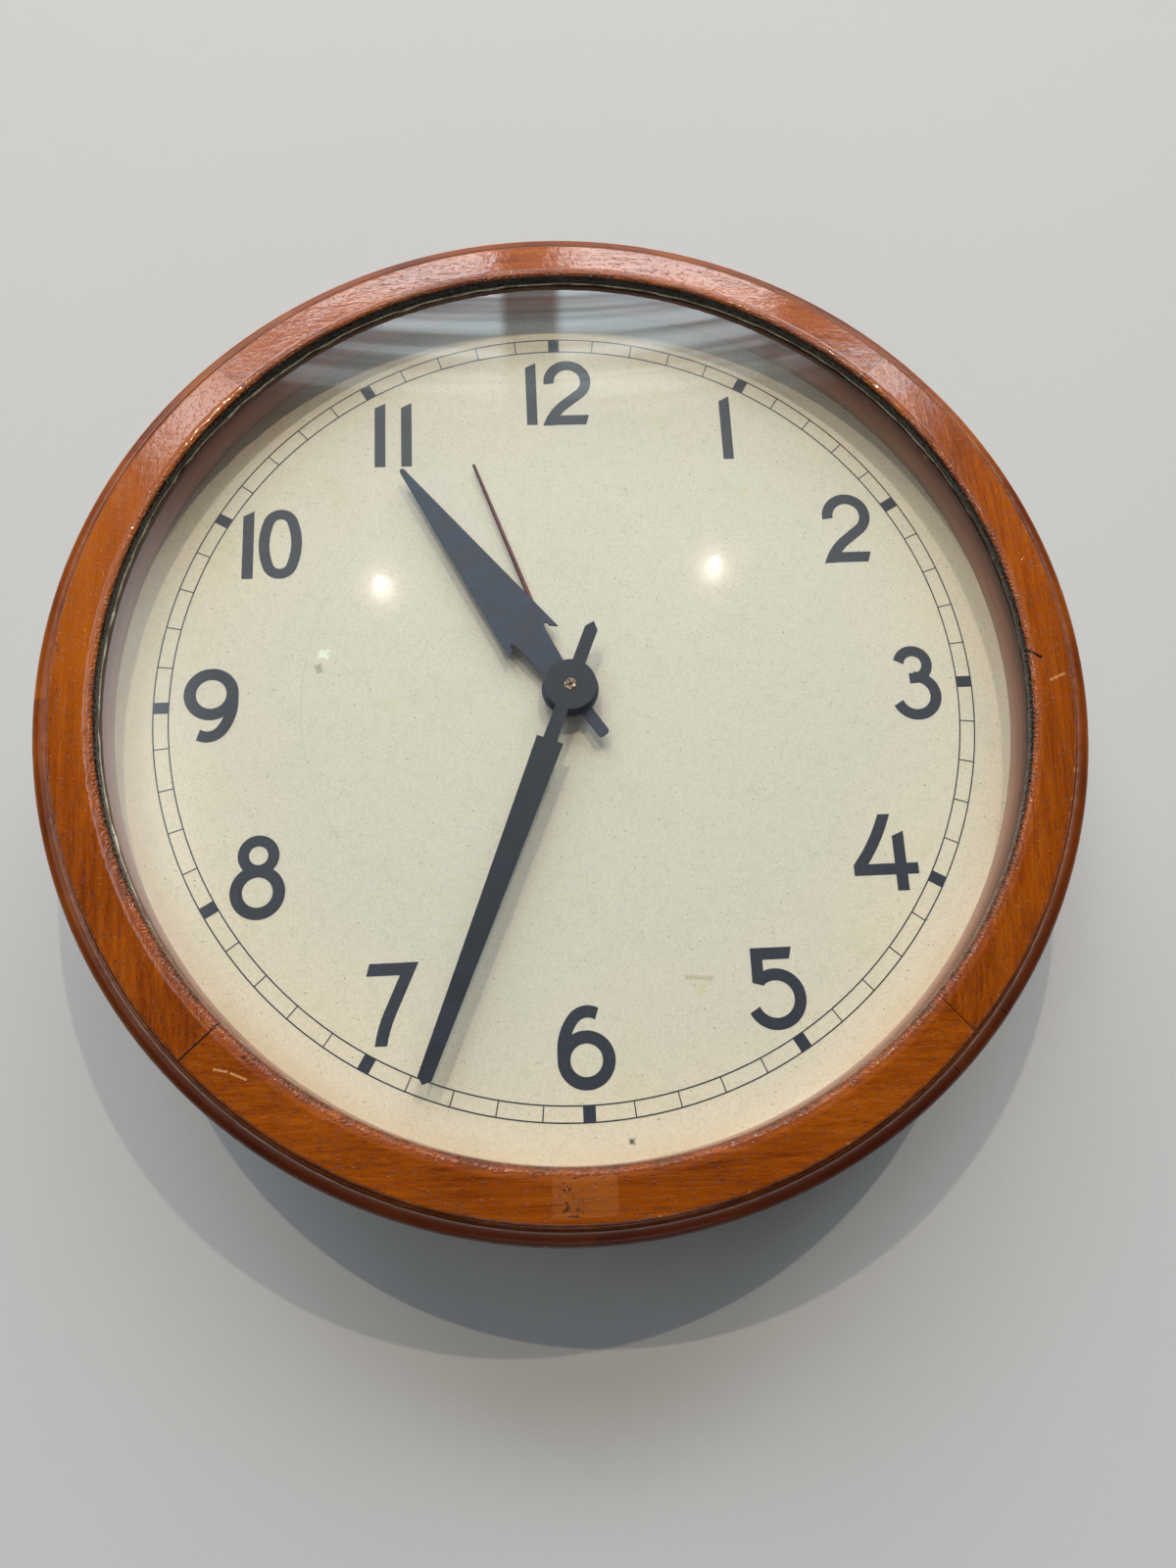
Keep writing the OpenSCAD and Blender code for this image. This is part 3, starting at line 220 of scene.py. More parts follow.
def finish_piece(piece, body, material):
    """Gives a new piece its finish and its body."""
    piece.data.materials.clear()
    piece.data.materials.append(material)
    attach(piece, body)


def dress(material, *names):
    """Gives CAD nodes a finish in place of the plain one that they came with."""
    for name in names:
        for material_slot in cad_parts[name].material_slots:
            material_slot.material = material


def dress_plain(finishes):
    """Gives a finish to each CAD node whose plain material is named in finishes."""
    for name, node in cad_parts.items():
        current = node.material_slots[0].material.name.split(".")[0]
        if current in finishes:
            dress(finishes[current], name)


class Pen:
    """Draws strokes of even width: a nib, which is one edge, is drawn along lines and round arcs.

    Places are in metres on the dial, headings in degrees from 3 o'clock, counterclockwise.
    An arc is drawn in steps of at most arc_step degrees.
    """

    def __init__(self, width, height, level, arc_step=4.0):
        self.width = width
        self.height = height
        self.level = level
        self.arc_step = arc_step

    def corners(self, centre, heading, cut):
        """The nib's two ends, where it crosses the stroke in the direction cut."""
        lean = math.radians(cut)
        reach = self.width / 2 / abs(math.sin(math.radians(heading) - lean))
        along = Vector((math.cos(lean), math.sin(lean), 0.0)) * reach
        return centre - along, centre + along

    def set_end(self, piece, old, new):
        """Moves the two corners of a stroke's end to a slanted cut."""
        mesh = bmesh.from_edit_mesh(piece.data)
        for before, after in zip(old, new):
            nearest = min(mesh.verts, key=lambda vertex: (vertex.co - before).length)
            nearest.co = after
        bmesh.update_edit_mesh(piece.data)

    def ordered(self, old, new):
        """The new corners, each on the same side of the stroke as the old one."""
        if (old[0] - new[0]).length > (old[0] - new[1]).length:
            return new[1], new[0]
        return new

    def stroke(self, start, heading, moves, start_cut=None, end_cut=None):
        """A closed solid along the moves, each ("line", length) or ("arc", radius, turn to the left)."""
        place = Vector((start[0], start[1], self.level))
        deselect_all()
        bpy.ops.mesh.primitive_plane_add(size=self.width, location=(0.0, 0.0, 0.0))
        piece = bpy.context.object
        bpy.ops.object.mode_set(mode="EDIT")
        select_vertices(piece, lambda spot: spot.x < 0)
        bpy.ops.mesh.delete(type="VERT")
        first = self.corners(place, heading, heading + 90.0)
        mesh = bmesh.from_edit_mesh(piece.data)
        for vertex, corner in zip(mesh.verts, first):
            vertex.co = corner
        bmesh.update_edit_mesh(piece.data)
        bpy.ops.mesh.select_all(action="SELECT")
        begin = heading
        for move in moves:
            direction = math.radians(heading)
            ahead = Vector((math.cos(direction), math.sin(direction), 0.0))
            if move[0] == "line":
                step = ahead * move[1]
                bpy.ops.mesh.extrude_region_move(TRANSFORM_OT_translate={"value": tuple(step)})
                place = place + step
                continue
            radius, turn = move[1], move[2]
            side = math.copysign(1.0, turn)
            centre = place + Vector((-ahead.y, ahead.x, 0.0)) * radius * side
            bpy.ops.mesh.spin(
                steps=max(1, math.ceil(abs(turn) / self.arc_step)),
                angle=math.radians(abs(turn)),
                center=tuple(centre),
                axis=(0.0, 0.0, -side),
            )
            place = centre + Matrix.Rotation(math.radians(turn), 3, "Z") @ (place - centre)
            heading += turn
        if start_cut is not None:
            slanted = self.corners(Vector((*start, self.level)), begin, start_cut)
            self.set_end(piece, first, self.ordered(first, slanted))
        if end_cut is not None:
            last = self.corners(place, heading, heading + 90.0)
            self.set_end(piece, last, self.ordered(last, self.corners(place, heading, end_cut)))
        bpy.ops.mesh.select_all(action="SELECT")
        bpy.ops.mesh.remove_doubles(threshold=0.002 * MM)
        bpy.ops.mesh.normals_make_consistent(inside=False)
        if bmesh.from_edit_mesh(piece.data).faces[:][0].normal.z < 0:
            bpy.ops.mesh.flip_normals()
        bpy.ops.object.mode_set(mode="OBJECT")
        apply_modifier(piece, "SOLIDIFY", thickness=self.height, offset=1.0)
        return piece


def turned_oval(across, along, tight):
    """The wide radius and the angle of each tight arc's half, in a four-centre oval.

    across and along are its half axes and tight is the radius at its ends.
    """
    reach = along - tight
    wide = (across**2 + reach**2 - tight**2) / (2 * (across - tight))
    return wide, math.degrees(math.atan2(reach, wide - across))


def numeral_strokes(width):
    """What the pen draws for each digit, in millimetres from the middle of the digit's foot.

    A stroke is (width, start, heading, moves, start cut, end cut).
    """
    oval_wide, oval_turn = turned_oval(5.7, 11.5, 4.4)
    stem_wide, stem_turn = turned_oval(8.11, 12.25, 6.0)
    return {
        "1": [(width, (0.0, 0.0), 90.0, [("line", 25.2)], None, 27.0)],
        "2": [
            (width, (-6.8, 17.37), 97.0, [("arc", 6.85, -239.0), ("line", 6.6), ("arc", 20.0, 32.0)],
             None, 0.0),
            (3.96, (-8.5, 1.98), 0.0, [("line", 15.5)], 70.0, 73.0),
        ],
        "3": [
            (3.8, (-4.94, 21.45), 78.0, [("arc", 5.05, -258.0), ("line", 1.7)], 152.7, None),
            (width, (0.0, 15.85), 0.0, [("arc", 6.95, -249.5)], None, 32.0),
        ],
        "4": [
            (width, (-4.0, 26.3), 249.8, [("arc", 62.2, -18.0)], 0.0, 0.0),
            (3.84, (-16.1, 7.42), 0.0, [("line", 22.0)], None, None),
            (4.0, (0.0, 0.0), 90.0, [("line", 19.5)], None, 22.8),
        ],
        "5": [
            (width, (-7.4, 24.85), 0.0, [("line", 13.2)], None, 75.6),
            (width, (-5.45, 26.0), 270.0, [("line", 10.95)], None, 164.3),
            (width, (-5.08, 16.21), 40.0, [("arc", 7.9, -286.5)], None, 30.5),
        ],
        "6": [
            (4.1, (7.2, 9.5), 90.0, [("arc", 7.2, 360.0)], None, None),
            (width, (-7.31, 9.5), 90.0,
             [("line", 2.9), ("arc", stem_wide, -stem_turn), ("arc", 6.0, -(121.1 - stem_turn))],
             None, 71.3),
        ],
        "7": [
            (4.0, (-8.1, 24.55), 0.0, [("line", 14.5)], 75.3, 66.0),
            (width, (6.1, 26.58), 246.0, [("line", 17.4), ("arc", 38.0, 16.0)], 0.0, 0.0),
        ],
        "8": [
            (4.05, (6.97, 9.0), 90.0, [("arc", 6.97, 360.0)], None, None),
            (3.7, (5.05, 21.2), 90.0, [("arc", 4.95, 360.0)], None, None),
        ],
        "0": [
            (3.8, (5.7, 13.4), 90.0,
             [("arc", oval_wide, oval_turn), ("arc", 4.4, 180.0 - 2 * oval_turn),
              ("arc", oval_wide, 2 * oval_turn), ("arc", 4.4, 180.0 - 2 * oval_turn),
              ("arc", oval_wide, oval_turn)], None, None),
        ],
    }


# Where each numeral's digits stand, in millimetres from the hands' centre: digit, place of its foot, turn.
NUMERALS = {
    1: [("1", (62.75, 89.6), 0.0)],
    2: [("2", (103.85, 46.9), 0.0)],
    3: [("3", (121.3, -13.5), 0.0)],
    4: [("4", (108.5, -72.8), 0.0)],
    5: [("5", (62.3, -116.4), 0.0)],
    6: [("6", (-0.1, -131.9), 0.0)],
    7: [("7", (-61.0, -115.6), 0.0)],
    8: [("8", (-104.8, -73.35), 0.0)],
    9: [("6", (-122.15, 13.9), 180.0)],
    10: [("1", (-111.4, 46.75), 0.0), ("0", (-100.1, 46.5), 0.0)],
    11: [("1", (-65.0, 89.4), 0.0), ("1", (-55.4, 89.4), 0.0)],
    12: [("1", (-9.1, 105.4), 0.0), ("2", (4.4, 105.2), 0.0)],
}


def feed(socket, value):
    """Joins a socket to an output, or sets it to a plain value."""
    if isinstance(value, bpy.types.NodeSocket):
        socket.id_data.links.new(value, socket)
    elif socket.type == "RGBA":
        socket.default_value = (*value, 1.0)
    else:
        socket.default_value = value


def add(tree, kind, *values, **settings):
    """A new node in a tree, with its own settings, and with values for its first sockets."""
    node = tree.nodes.new("ShaderNode" + kind)
    for setting, value in settings.items():
        setattr(node, setting, value)
    for socket, value in zip(node.inputs, values):
        feed(socket, value)
    return node


def sums(operation, first, *others):
    """Numbers worked together one after the other, by an operation that takes two."""
    total = first
    for value in others:
        socket = total if isinstance(total, bpy.types.NodeSocket) else value
        total = add(socket.id_data, "Math", total, value, operation=operation).outputs[0]
    return total


def plus(*values):
    return sums("ADD", *values)


def minus(first, second):
    return sums("SUBTRACT", first, second)


def times(*values):
    return sums("MULTIPLY", *values)


def largest(*values):
    return sums("MAXIMUM", *values)


def absolute(value):
    return add(value.id_data, "Math", value, operation="ABSOLUTE").outputs[0]


def between(value, low, high):
    """0 where value is low, 1 where it is high, and a soft step in between."""
    ends = (low, high, 0.0, 1.0) if high > low else (high, low, 1.0, 0.0)
    return add(value.id_data, "MapRange", value, *ends, interpolation_type="SMOOTHSTEP").outputs["Result"]


def span(length, low, high):
    """0 where a length is low, 1 where it is high, both in millimetres, and a soft step in between."""
    return between(length, low * MM, high * MM)


def blend(share, first, second):
    """Two colours mixed, with share of the second."""
    node = add(share.id_data, "Mix", share, data_type="RGBA")
    feed(node.inputs[6], first)
    feed(node.inputs[7], second)
    return node.outputs[2]


def over(colour, mask, share, tint):
    """A colour with a tint over it where mask is 1, as strong as share."""
    return blend(times(mask, share), colour, tint)


def bump(height, depth, under=None):
    """Adds relief of a depth in millimetres, for a height from 0 to 1."""
    node = add(height.id_data, "Bump")
    node.inputs["Distance"].default_value = depth * MM
    feed(node.inputs["Height"], height)
    if under is not None:
        feed(node.inputs["Normal"], under)
    return node.outputs["Normal"]


class Finish:
    """A material under way. Sizes and places on it are given in millimetres, its seeds in metres."""

    def __init__(self, name, roughness=0.5, metallic=0.0, specular=0.5, coat=0.0, coat_roughness=0.03):
        self.material = bpy.data.materials.new(name)
        self.material.use_nodes = True
        self.tree = self.material.node_tree
        self.surface = self.tree.nodes["Principled BSDF"]
        constants = {
            "Roughness": roughness,
            "Metallic": metallic,
            "Specular IOR Level": specular,
            "Coat Weight": coat,
            "Coat Roughness": coat_roughness,
        }
        for socket, value in constants.items():
            self.surface.inputs[socket].default_value = value
        self.place = add(self.tree, "TexCoord").outputs["Object"]

    def spaced(self, size, turn, centre):
        """The place on the piece, turned about z, and counted from centre in steps of size, in metres."""
        turned = (0.0, 0.0, math.radians(turn))
        node = add(self.tree, "Mapping", self.place, centre, turned, size, vector_type="TEXTURE")
        return node.outputs["Vector"]

    def noise(self, size, seed=(0.0, 0.0, 0.0), turn=0.0, detail=2.0, rough=0.5, twist=0.0):
        """Cloudy noise from 0 to 1, in spots of one size or of one for each axis, shifted by the seed."""
        sizes = size if isinstance(size, tuple) else (size, size, size)
        node = add(self.tree, "TexNoise", self.spaced([part * MM for part in sizes], turn, seed))
        constants = {"Scale": 1.0, "Detail": detail, "Roughness": rough, "Distortion": twist}
        for socket, value in constants.items():
            node.inputs[socket].default_value = value
        return node.outputs["Fac"]

    def parts(self):
        """The x, y and z of the place on the piece."""
        return add(self.tree, "SeparateXYZ", self.place).outputs

    def along(self, direction):
        """How far the place lies in a direction."""
        return add(self.tree, "VectorMath", self.place, direction, operation="DOT_PRODUCT").outputs["Value"]

    def radius(self):
        """Distance from the clock's axis."""
        flat = add(self.tree, "VectorMath", self.place, (1.0, 1.0, 0.0), operation="MULTIPLY")
        return add(self.tree, "VectorMath", flat.outputs["Vector"], operation="LENGTH").outputs["Value"]

    def mark(self, start, end, width, soft=0.3, ragged=0.0):
        """1 on a bar between two places on the front, and 0 elsewhere."""
        begin, stop = Vector(start) * MM, Vector(end) * MM
        run = stop - begin
        middle = (begin + stop) / 2
        turn = math.degrees(math.atan2(run.y, run.x))
        local = add(self.tree, "SeparateXYZ", self.spaced((1.0, 1.0, 1.0), turn, (*middle, 0.0))).outputs
        far_x = minus(absolute(local[0]), run.length / 2)
        far_y = minus(absolute(local[1]), width * MM / 2)
        far = largest(far_x, far_y)
        if ragged:
            wander = minus(self.noise(ragged * 2, detail=3.0), 0.5)
            far = plus(far, times(wander, ragged * 2 * MM))
        return span(far, soft, 0.0)

    def done(self, colour, normal, roughness=None):
        """Joins colour, relief and roughness to the surface and gives the material."""
        feed(self.surface.inputs["Base Color"], colour)
        feed(self.surface.inputs["Normal"], normal)
        if roughness is not None:
            feed(self.surface.inputs["Roughness"], roughness)
        return self.material


SIGHT = 152.5 * MM
# The closed joints at each bezel segment's ends, in degrees from 3 o'clock.
CLOSED_JOINTS = {
    "bezel_top": (45, 135),
    "bezel_left": (135,),
    "bezel_bottom": (315,),
    "bezel_right": (315, 405),
}
# The two ends on the bezel's face of the open joint, between left and bottom, in millimetres.
OPEN_GAP = ((-109.4, -106.1), (-122.6, -116.8))
BEZEL_GRAINS = {"bezel_top": 1.0, "bezel_left": 91.0, "bezel_bottom": -1.0, "bezel_right": 88.0}
BEZEL_SEEDS = {name: (0.31 * number + 0.1, 0.17 * number, 0.0) for number, name in enumerate(BEZEL_GRAINS)}


def wood_tone(finish, name, choices):
    """Colour of a bezel segment's varnished hardwood, and the masks of its streaks and pores."""
    grain, seed = BEZEL_GRAINS[name], BEZEL_SEEDS[name]
    broad = finish.noise((60, 16, 16), seed, grain)
    streak = finish.noise((70, 1.7, 1.7), seed, grain, detail=3.0, rough=0.6)
    fine = finish.noise((16, 0.34, 0.34), seed, grain)
    tone = plus(times(broad, 0.35), times(streak, 0.4), times(fine, 0.25))
    colour = blend(between(tone, 0.33, 0.52), choices.dark, choices.middle)
    colour = blend(between(tone, 0.47, 0.66), colour, choices.light)
    pores = finish.noise((3.2, 0.34, 0.34), seed, grain, detail=1.0)
    pore_zone = finish.noise((20, 6, 6), seed, grain, detail=1.0)
    pores = between(plus(pores, times(pore_zone, 0.12)), 0.69, 0.76)
    return over(colour, pores, 0.55, choices.pore), streak, pores


def joint_line(finish, angle, width):
    """1 on a thin line through the axis at an angle, on that side of the axis only."""
    turn = math.radians(angle)
    across = absolute(finish.along((math.sin(turn), -math.cos(turn), 0.0)))
    ahead = finish.along((math.cos(turn), math.sin(turn), 0.0))
    return times(span(across, width, width * 0.4), span(ahead, 0, 10))


def past_open_joint(finish, colour, choices):
    """The left segment's colour, with the bottom segment's wood beyond their slanted joint."""
    begin, end = (Vector((x * MM, y * MM, 0.0)) for x, y in OPEN_GAP)
    across = (end - begin).cross(Vector((0.0, 0.0, 1.0))).normalized()
    beyond = minus(finish.along(tuple(across)), across.dot(begin))
    lower = wood_tone(finish, "bezel_bottom", choices)[0]
    return blend(span(beyond, 0.05, -0.05), colour, lower)


def worn_edges(finish, name, colour, patchy, choices):
    """Dirt along both edges of a bezel segment, chips at the outer one and its closed joints."""
    radius = finish.radius()
    dirt = times(span(radius, 167.6, 169.2), between(patchy, 0.35, 0.6))
    colour = over(colour, dirt, 0.4, choices.pore)
    inner_dirt = times(span(radius, 156.0, 153.2), between(patchy, 0.4, 0.62))
    colour = over(colour, inner_dirt, 0.5, choices.pore)
    edge = span(absolute(minus(radius, 168.7 * MM)), 0.9, 0.2)
    rough_edge = finish.noise(1.6, BEZEL_SEEDS[name], detail=4.0, rough=0.7)
    chips = times(edge, between(rough_edge, 0.6, 0.68))
    colour = over(colour, chips, 0.7, choices.bare)
    for angle in CLOSED_JOINTS[name]:
        colour = over(colour, joint_line(finish, angle, 0.3), 0.85, choices.pore)
    return colour


def bottom_marks(finish, colour, hollow, choices):
    """Mended patch under the 6, two scratches and a dent."""
    patch = finish.mark((-12.5, -160.7), (6.5, -160.7), 11.4, ragged=0.5)
    lighter = finish.mark((-3.5, -160.7), (6.3, -160.7), 11.0, ragged=0.5)
    pits = between(finish.noise(1.4, BEZEL_SEEDS["bezel_bottom"], detail=3.0), 0.56, 0.64)
    pits = times(pits, largest(minus(patch, lighter), 0.0))
    colour = over(colour, patch, 0.1, choices.bare)
    colour = over(colour, lighter, 0.2, choices.light)
    colour = over(colour, pits, 0.7, choices.pore)
    for start, end in (((-111.4, -119.4), (-107.2, -120.4)), ((-106.3, -120.7), (-101.6, -122.9))):
        colour = over(colour, finish.mark(start, end, 0.35, ragged=0.3), 0.8, choices.bare)
    dent = finish.mark((-102.5, -116.7), (-101.5, -116.7), 0.8)
    colour = over(colour, dent, 0.8, choices.pore)
    return colour, largest(hollow, pits, dent)


def left_marks(finish, colour, hollow, choices):
    """Dark spots by the 9, the open joint, and a paler stretch by the upper joint."""
    spots = finish.mark((-167.4, 18.6), (-166.0, 14.4), 1.6)
    spots = times(spots, between(finish.noise(1.1), 0.48, 0.56))
    gap = finish.mark(*OPEN_GAP, 0.35, soft=0.25)
    colour = blend(spots, colour, choices.pore)
    colour = blend(gap, colour, choices.pore)
    turn = math.radians(135)
    near_joint = span(finish.along((math.sin(turn), -math.cos(turn), 0.0)), 13, 11)
    near_joint = times(near_joint, span(finish.parts()[1], 0, 10))
    colour = over(colour, near_joint, 0.5, choices.light)
    return colour, largest(hollow, spots, gap)


def right_marks(finish, colour, hollow, choices):
    """Crack and scratch by the 3."""
    crack = finish.mark((152.1, 3.6), (158.0, 0.8), 0.7, ragged=0.7)
    scratch = finish.mark((159.7, -7.1), (165.9, -4.3), 0.5, ragged=0.5)
    colour = over(colour, scratch, 0.6, choices.bare)
    colour = blend(crack, colour, choices.pore)
    return colour, largest(hollow, crack)


BEZEL_MARKS = {"bezel_bottom": bottom_marks, "bezel_left": left_marks, "bezel_right": right_marks}


def painted_wall_shadow(finish, colour):
    """A segment's colour, with painted shadow on its wall round the sight opening, most so in the upper half.
    """
    low = span(finish.parts()[2], 95.35, 95.0)
    wall = times(low, span(finish.radius(), 154.1, 153.5))
    upper = times(span(finish.parts()[1], -110, -30), 0.6)
    # Painted shadow: the wall under the bezel's overhang is coloured near black, more in the upper half than
    # the lower.
    return blend(times(wall, plus(upper, 0.4)), colour, paint(24, 13, 8))


def bezel_relief(finish, seed, streak, hollow):
    """Worn inner edge of a bezel segment, with nibs in its varnish, waves, grain and hollows."""
    radius = finish.radius()
    lumpy = between(finish.noise(0.9, seed, detail=1.0), 0.35, 0.65)
    lumpy = times(lumpy, span(radius, 155.5, 153.2))
    worn_down = plus(times(lumpy, 0.17), span(radius, 152.0, 157.0))
    normal = bump(worn_down, 1.25)
    nibs = between(finish.noise(1.3, seed, detail=1.0), 0.66, 0.76)
    normal = bump(nibs, 0.12, normal)
    normal = bump(finish.noise(9, seed, detail=3.0), 0.2, normal)
    normal = bump(finish.noise(0.7, seed), 0.03, normal)
    normal = bump(streak, 0.05, normal)
    return bump(minus(1.0, hollow), 0.12, normal)


def bezel_wood(name, choices):
    """Varnished hardwood of one bezel segment, worn at its edges, with its own marks and painted shadow on
    the wall round its sight opening.
    """
    seed = BEZEL_SEEDS[name]
    finish = Finish(name, roughness=0.36, specular=0.06, coat=0.75, coat_roughness=0.06)
    colour, streak, hollow = wood_tone(finish, name, choices)
    if name == "bezel_left":
        colour = past_open_joint(finish, colour, choices)
    patchy = finish.noise(9, seed, detail=4.0, rough=0.65)
    colour = worn_edges(finish, name, colour, patchy, choices)
    if name in BEZEL_MARKS:
        colour, hollow = BEZEL_MARKS[name](finish, colour, hollow, choices)
    # Painted shadow on the wall round the sight opening.
    colour = painted_wall_shadow(finish, colour)
    normal = bezel_relief(finish, seed, streak, hollow)
    feed(finish.surface.inputs["Coat Normal"], normal)
    return finish.done(colour, normal, plus(times(patchy, 0.3), 0.2))


def ring_wood(name, seed, choices, seams):
    """Varnished hardwood whose grain runs round the clock, as on the layer with the bead, with painted shade
    towards the 6.
    """
    finish = Finish(name, roughness=0.38, specular=0.06, coat=0.3, coat_roughness=0.25)
    streak = finish.noise((24, 24, 1.6), seed, detail=4.0, rough=0.6)
    broad = finish.noise((60, 60, 12), seed)
    tone = plus(times(broad, 0.5), times(streak, 0.5))
    colour = blend(between(tone, 0.36, 0.54), choices.dark, choices.middle)
    colour = blend(between(tone, 0.5, 0.66), colour, choices.light)
    # Darker along the groove by the bezel: partly grime and partly painted shade.
    groove = span(finish.parts()[2], 87.6, 88.4)
    colour = over(colour, groove, 0.3, choices.pore)
    # Painted shade: the wood darkened towards the 6, the side away from the light.
    shaded = span(finish.parts()[1], 20, -150)
    colour = over(colour, shaded, 0.85, paint(56, 19, 10))
    chips = between(finish.noise(3, seed, detail=4.0, rough=0.7), 0.58, 0.7)
    worn = times(span(finish.radius(), 174.6, 176.0), chips)
    colour = over(colour, worn, 0.3, choices.bare)
    for angle in seams:
        shown = 0.35 if angle % 90 == 0 else 1.0
        colour = over(colour, joint_line(finish, angle, 0.35), shown, choices.pore)
    normal = bump(finish.noise(7, seed), 0.25, bump(streak, 0.08))
    feed(finish.surface.inputs["Coat Normal"], normal)
    return finish.done(colour, normal)


def hoop_wood(choices):
    """Stained bent wood of the back box, its grain bent round with it."""
    finish = Finish("hoop_wood", coat=0.25, coat_roughness=0.35)
    streak = finish.noise((40, 40, 0.9), detail=4.0, rough=0.6)
    broad = finish.noise((80, 80, 9))
    tone = plus(times(broad, 0.5), times(streak, 0.5))
    colour = blend(between(tone, 0.38, 0.62), shade(choices.hoop, 0.45), choices.hoop)
    return finish.done(colour, bump(streak, 0.1))


def plywood(choices):
    """Birch plywood: long pale grain on its faces and three plies at its edges."""
    finish = Finish("plywood", roughness=0.55)
    streak = finish.noise((90, 3, 3), detail=4.0, rough=0.6, twist=0.4)
    fleck = finish.noise((6, 0.5, 0.5), detail=1.0)
    dark = shade(choices.ply, 0.62)
    colour = blend(between(streak, 0.35, 0.65), dark, choices.ply)
    colour = over(colour, between(fleck, 0.62, 0.72), 0.4, dark)
    ply = sums("PINGPONG", finish.parts()[2], 1.5 * MM)
    facing = add(finish.tree, "SeparateXYZ", add(finish.tree, "NewGeometry").outputs["Normal"]).outputs
    upright = between(absolute(facing[2]), 0.5, 0.2)
    layers = times(upright, span(ply, 0.9, 0.6))
    colour = over(colour, layers, 0.7, shade(choices.ply, 0.4))
    return finish.done(colour, bump(streak, 0.06))


def liner_paint(choices):
    """Matt brown paint of the reveal ring, brushed round it, with painted light making it paler by the dial
    and painted shade making it dark by the glass.
    """
    finish = Finish("liner_paint", roughness=0.6)
    brushed = finish.noise((18, 18, 0.8), detail=3.0)
    dust = finish.noise(5, detail=4.0, rough=0.65)
    colour = blend(between(brushed, 0.35, 0.65), shade(choices.liner, 0.8), choices.liner)
    height = finish.parts()[2]
    # Painted light: the ring made paler towards the dial.
    colour = over(colour, span(height, 82, 75.5), 0.45, paint(196, 176, 156))
    # Painted shade: the ring darkened towards the glass, under the bezel's overhang.
    colour = over(colour, span(height, 79, 88.5), 0.8, shade(choices.liner, 0.12))
    colour = over(colour, between(dust, 0.6, 0.75), 0.3, choices.bare)
    return finish.done(colour, bump(brushed, 0.08))


def clear_glass():
    """Flat clear glass: what isn't mirrored at the front face passes straight through."""
    finish = Finish("clear_glass")
    nodes = finish.tree.nodes
    nodes.remove(finish.surface)
    smear = finish.noise(26, detail=4.0, rough=0.6)
    mirror = add(finish.tree, "BsdfGlossy", (1.0, 1.0, 1.0))
    mirror.inputs["Roughness"].default_value = 0.006
    feed(mirror.inputs["Normal"], bump(smear, 0.002))
    clear = add(finish.tree, "BsdfTransparent", (0.978, 0.982, 0.98))
    fresnel = add(finish.tree, "Fresnel", 1.5)
    outside = minus(1.0, add(finish.tree, "NewGeometry").outputs["Backfacing"])
    mirrored = times(fresnel.outputs[0], outside)
    mix = add(finish.tree, "MixShader", mirrored, clear.outputs[0], mirror.outputs[0])
    feed(nodes["Material Output"].inputs["Surface"], mix.outputs[0])
    return finish.material


def old_putty(choices):
    """Crumbling linseed putty, whitish green and dirty."""
    finish = Finish("old_putty", roughness=0.85)
    lumps = finish.noise(1.2, detail=4.0, rough=0.7)
    grime = finish.noise(7, detail=3.0)
    colour = blend(between(lumps, 0.35, 0.65), shade(choices.putty, 0.45), choices.putty)
    colour = over(colour, between(grime, 0.5, 0.7), 0.6, paint(70, 58, 44))
    return finish.done(colour, bump(lumps, 0.3))


# Stains and scratches of the dial, in millimetres: start, end, width, colour, strength.
DIAL_STAINS = (
    ((-86.6, 12.3), (-85.4, 12.6), 2.2, paint(148, 146, 118), 0.7),
    ((-85.4, 18.6), (-83.2, 16.6), 0.7, paint(236, 240, 220), 0.8),
    ((-86.0, 16.6), (-83.0, 19.0), 0.4, paint(236, 240, 220), 0.7),
    ((37.0, -102.1), (39.0, -102.0), 2.4, paint(206, 206, 120), 0.35),
    ((-63.0, -1.0), (-59.0, -2.6), 4.0, paint(206, 206, 140), 0.22),
    ((66.6, 76.8), (68.6, 76.9), 2.0, paint(206, 200, 130), 0.3),
    ((33.5, -98.0), (42.0, -98.6), 0.35, paint(168, 150, 110), 0.5),
    ((12.6, -147.7), (13.2, -147.7), 0.6, paint(54, 44, 34), 0.9),
)


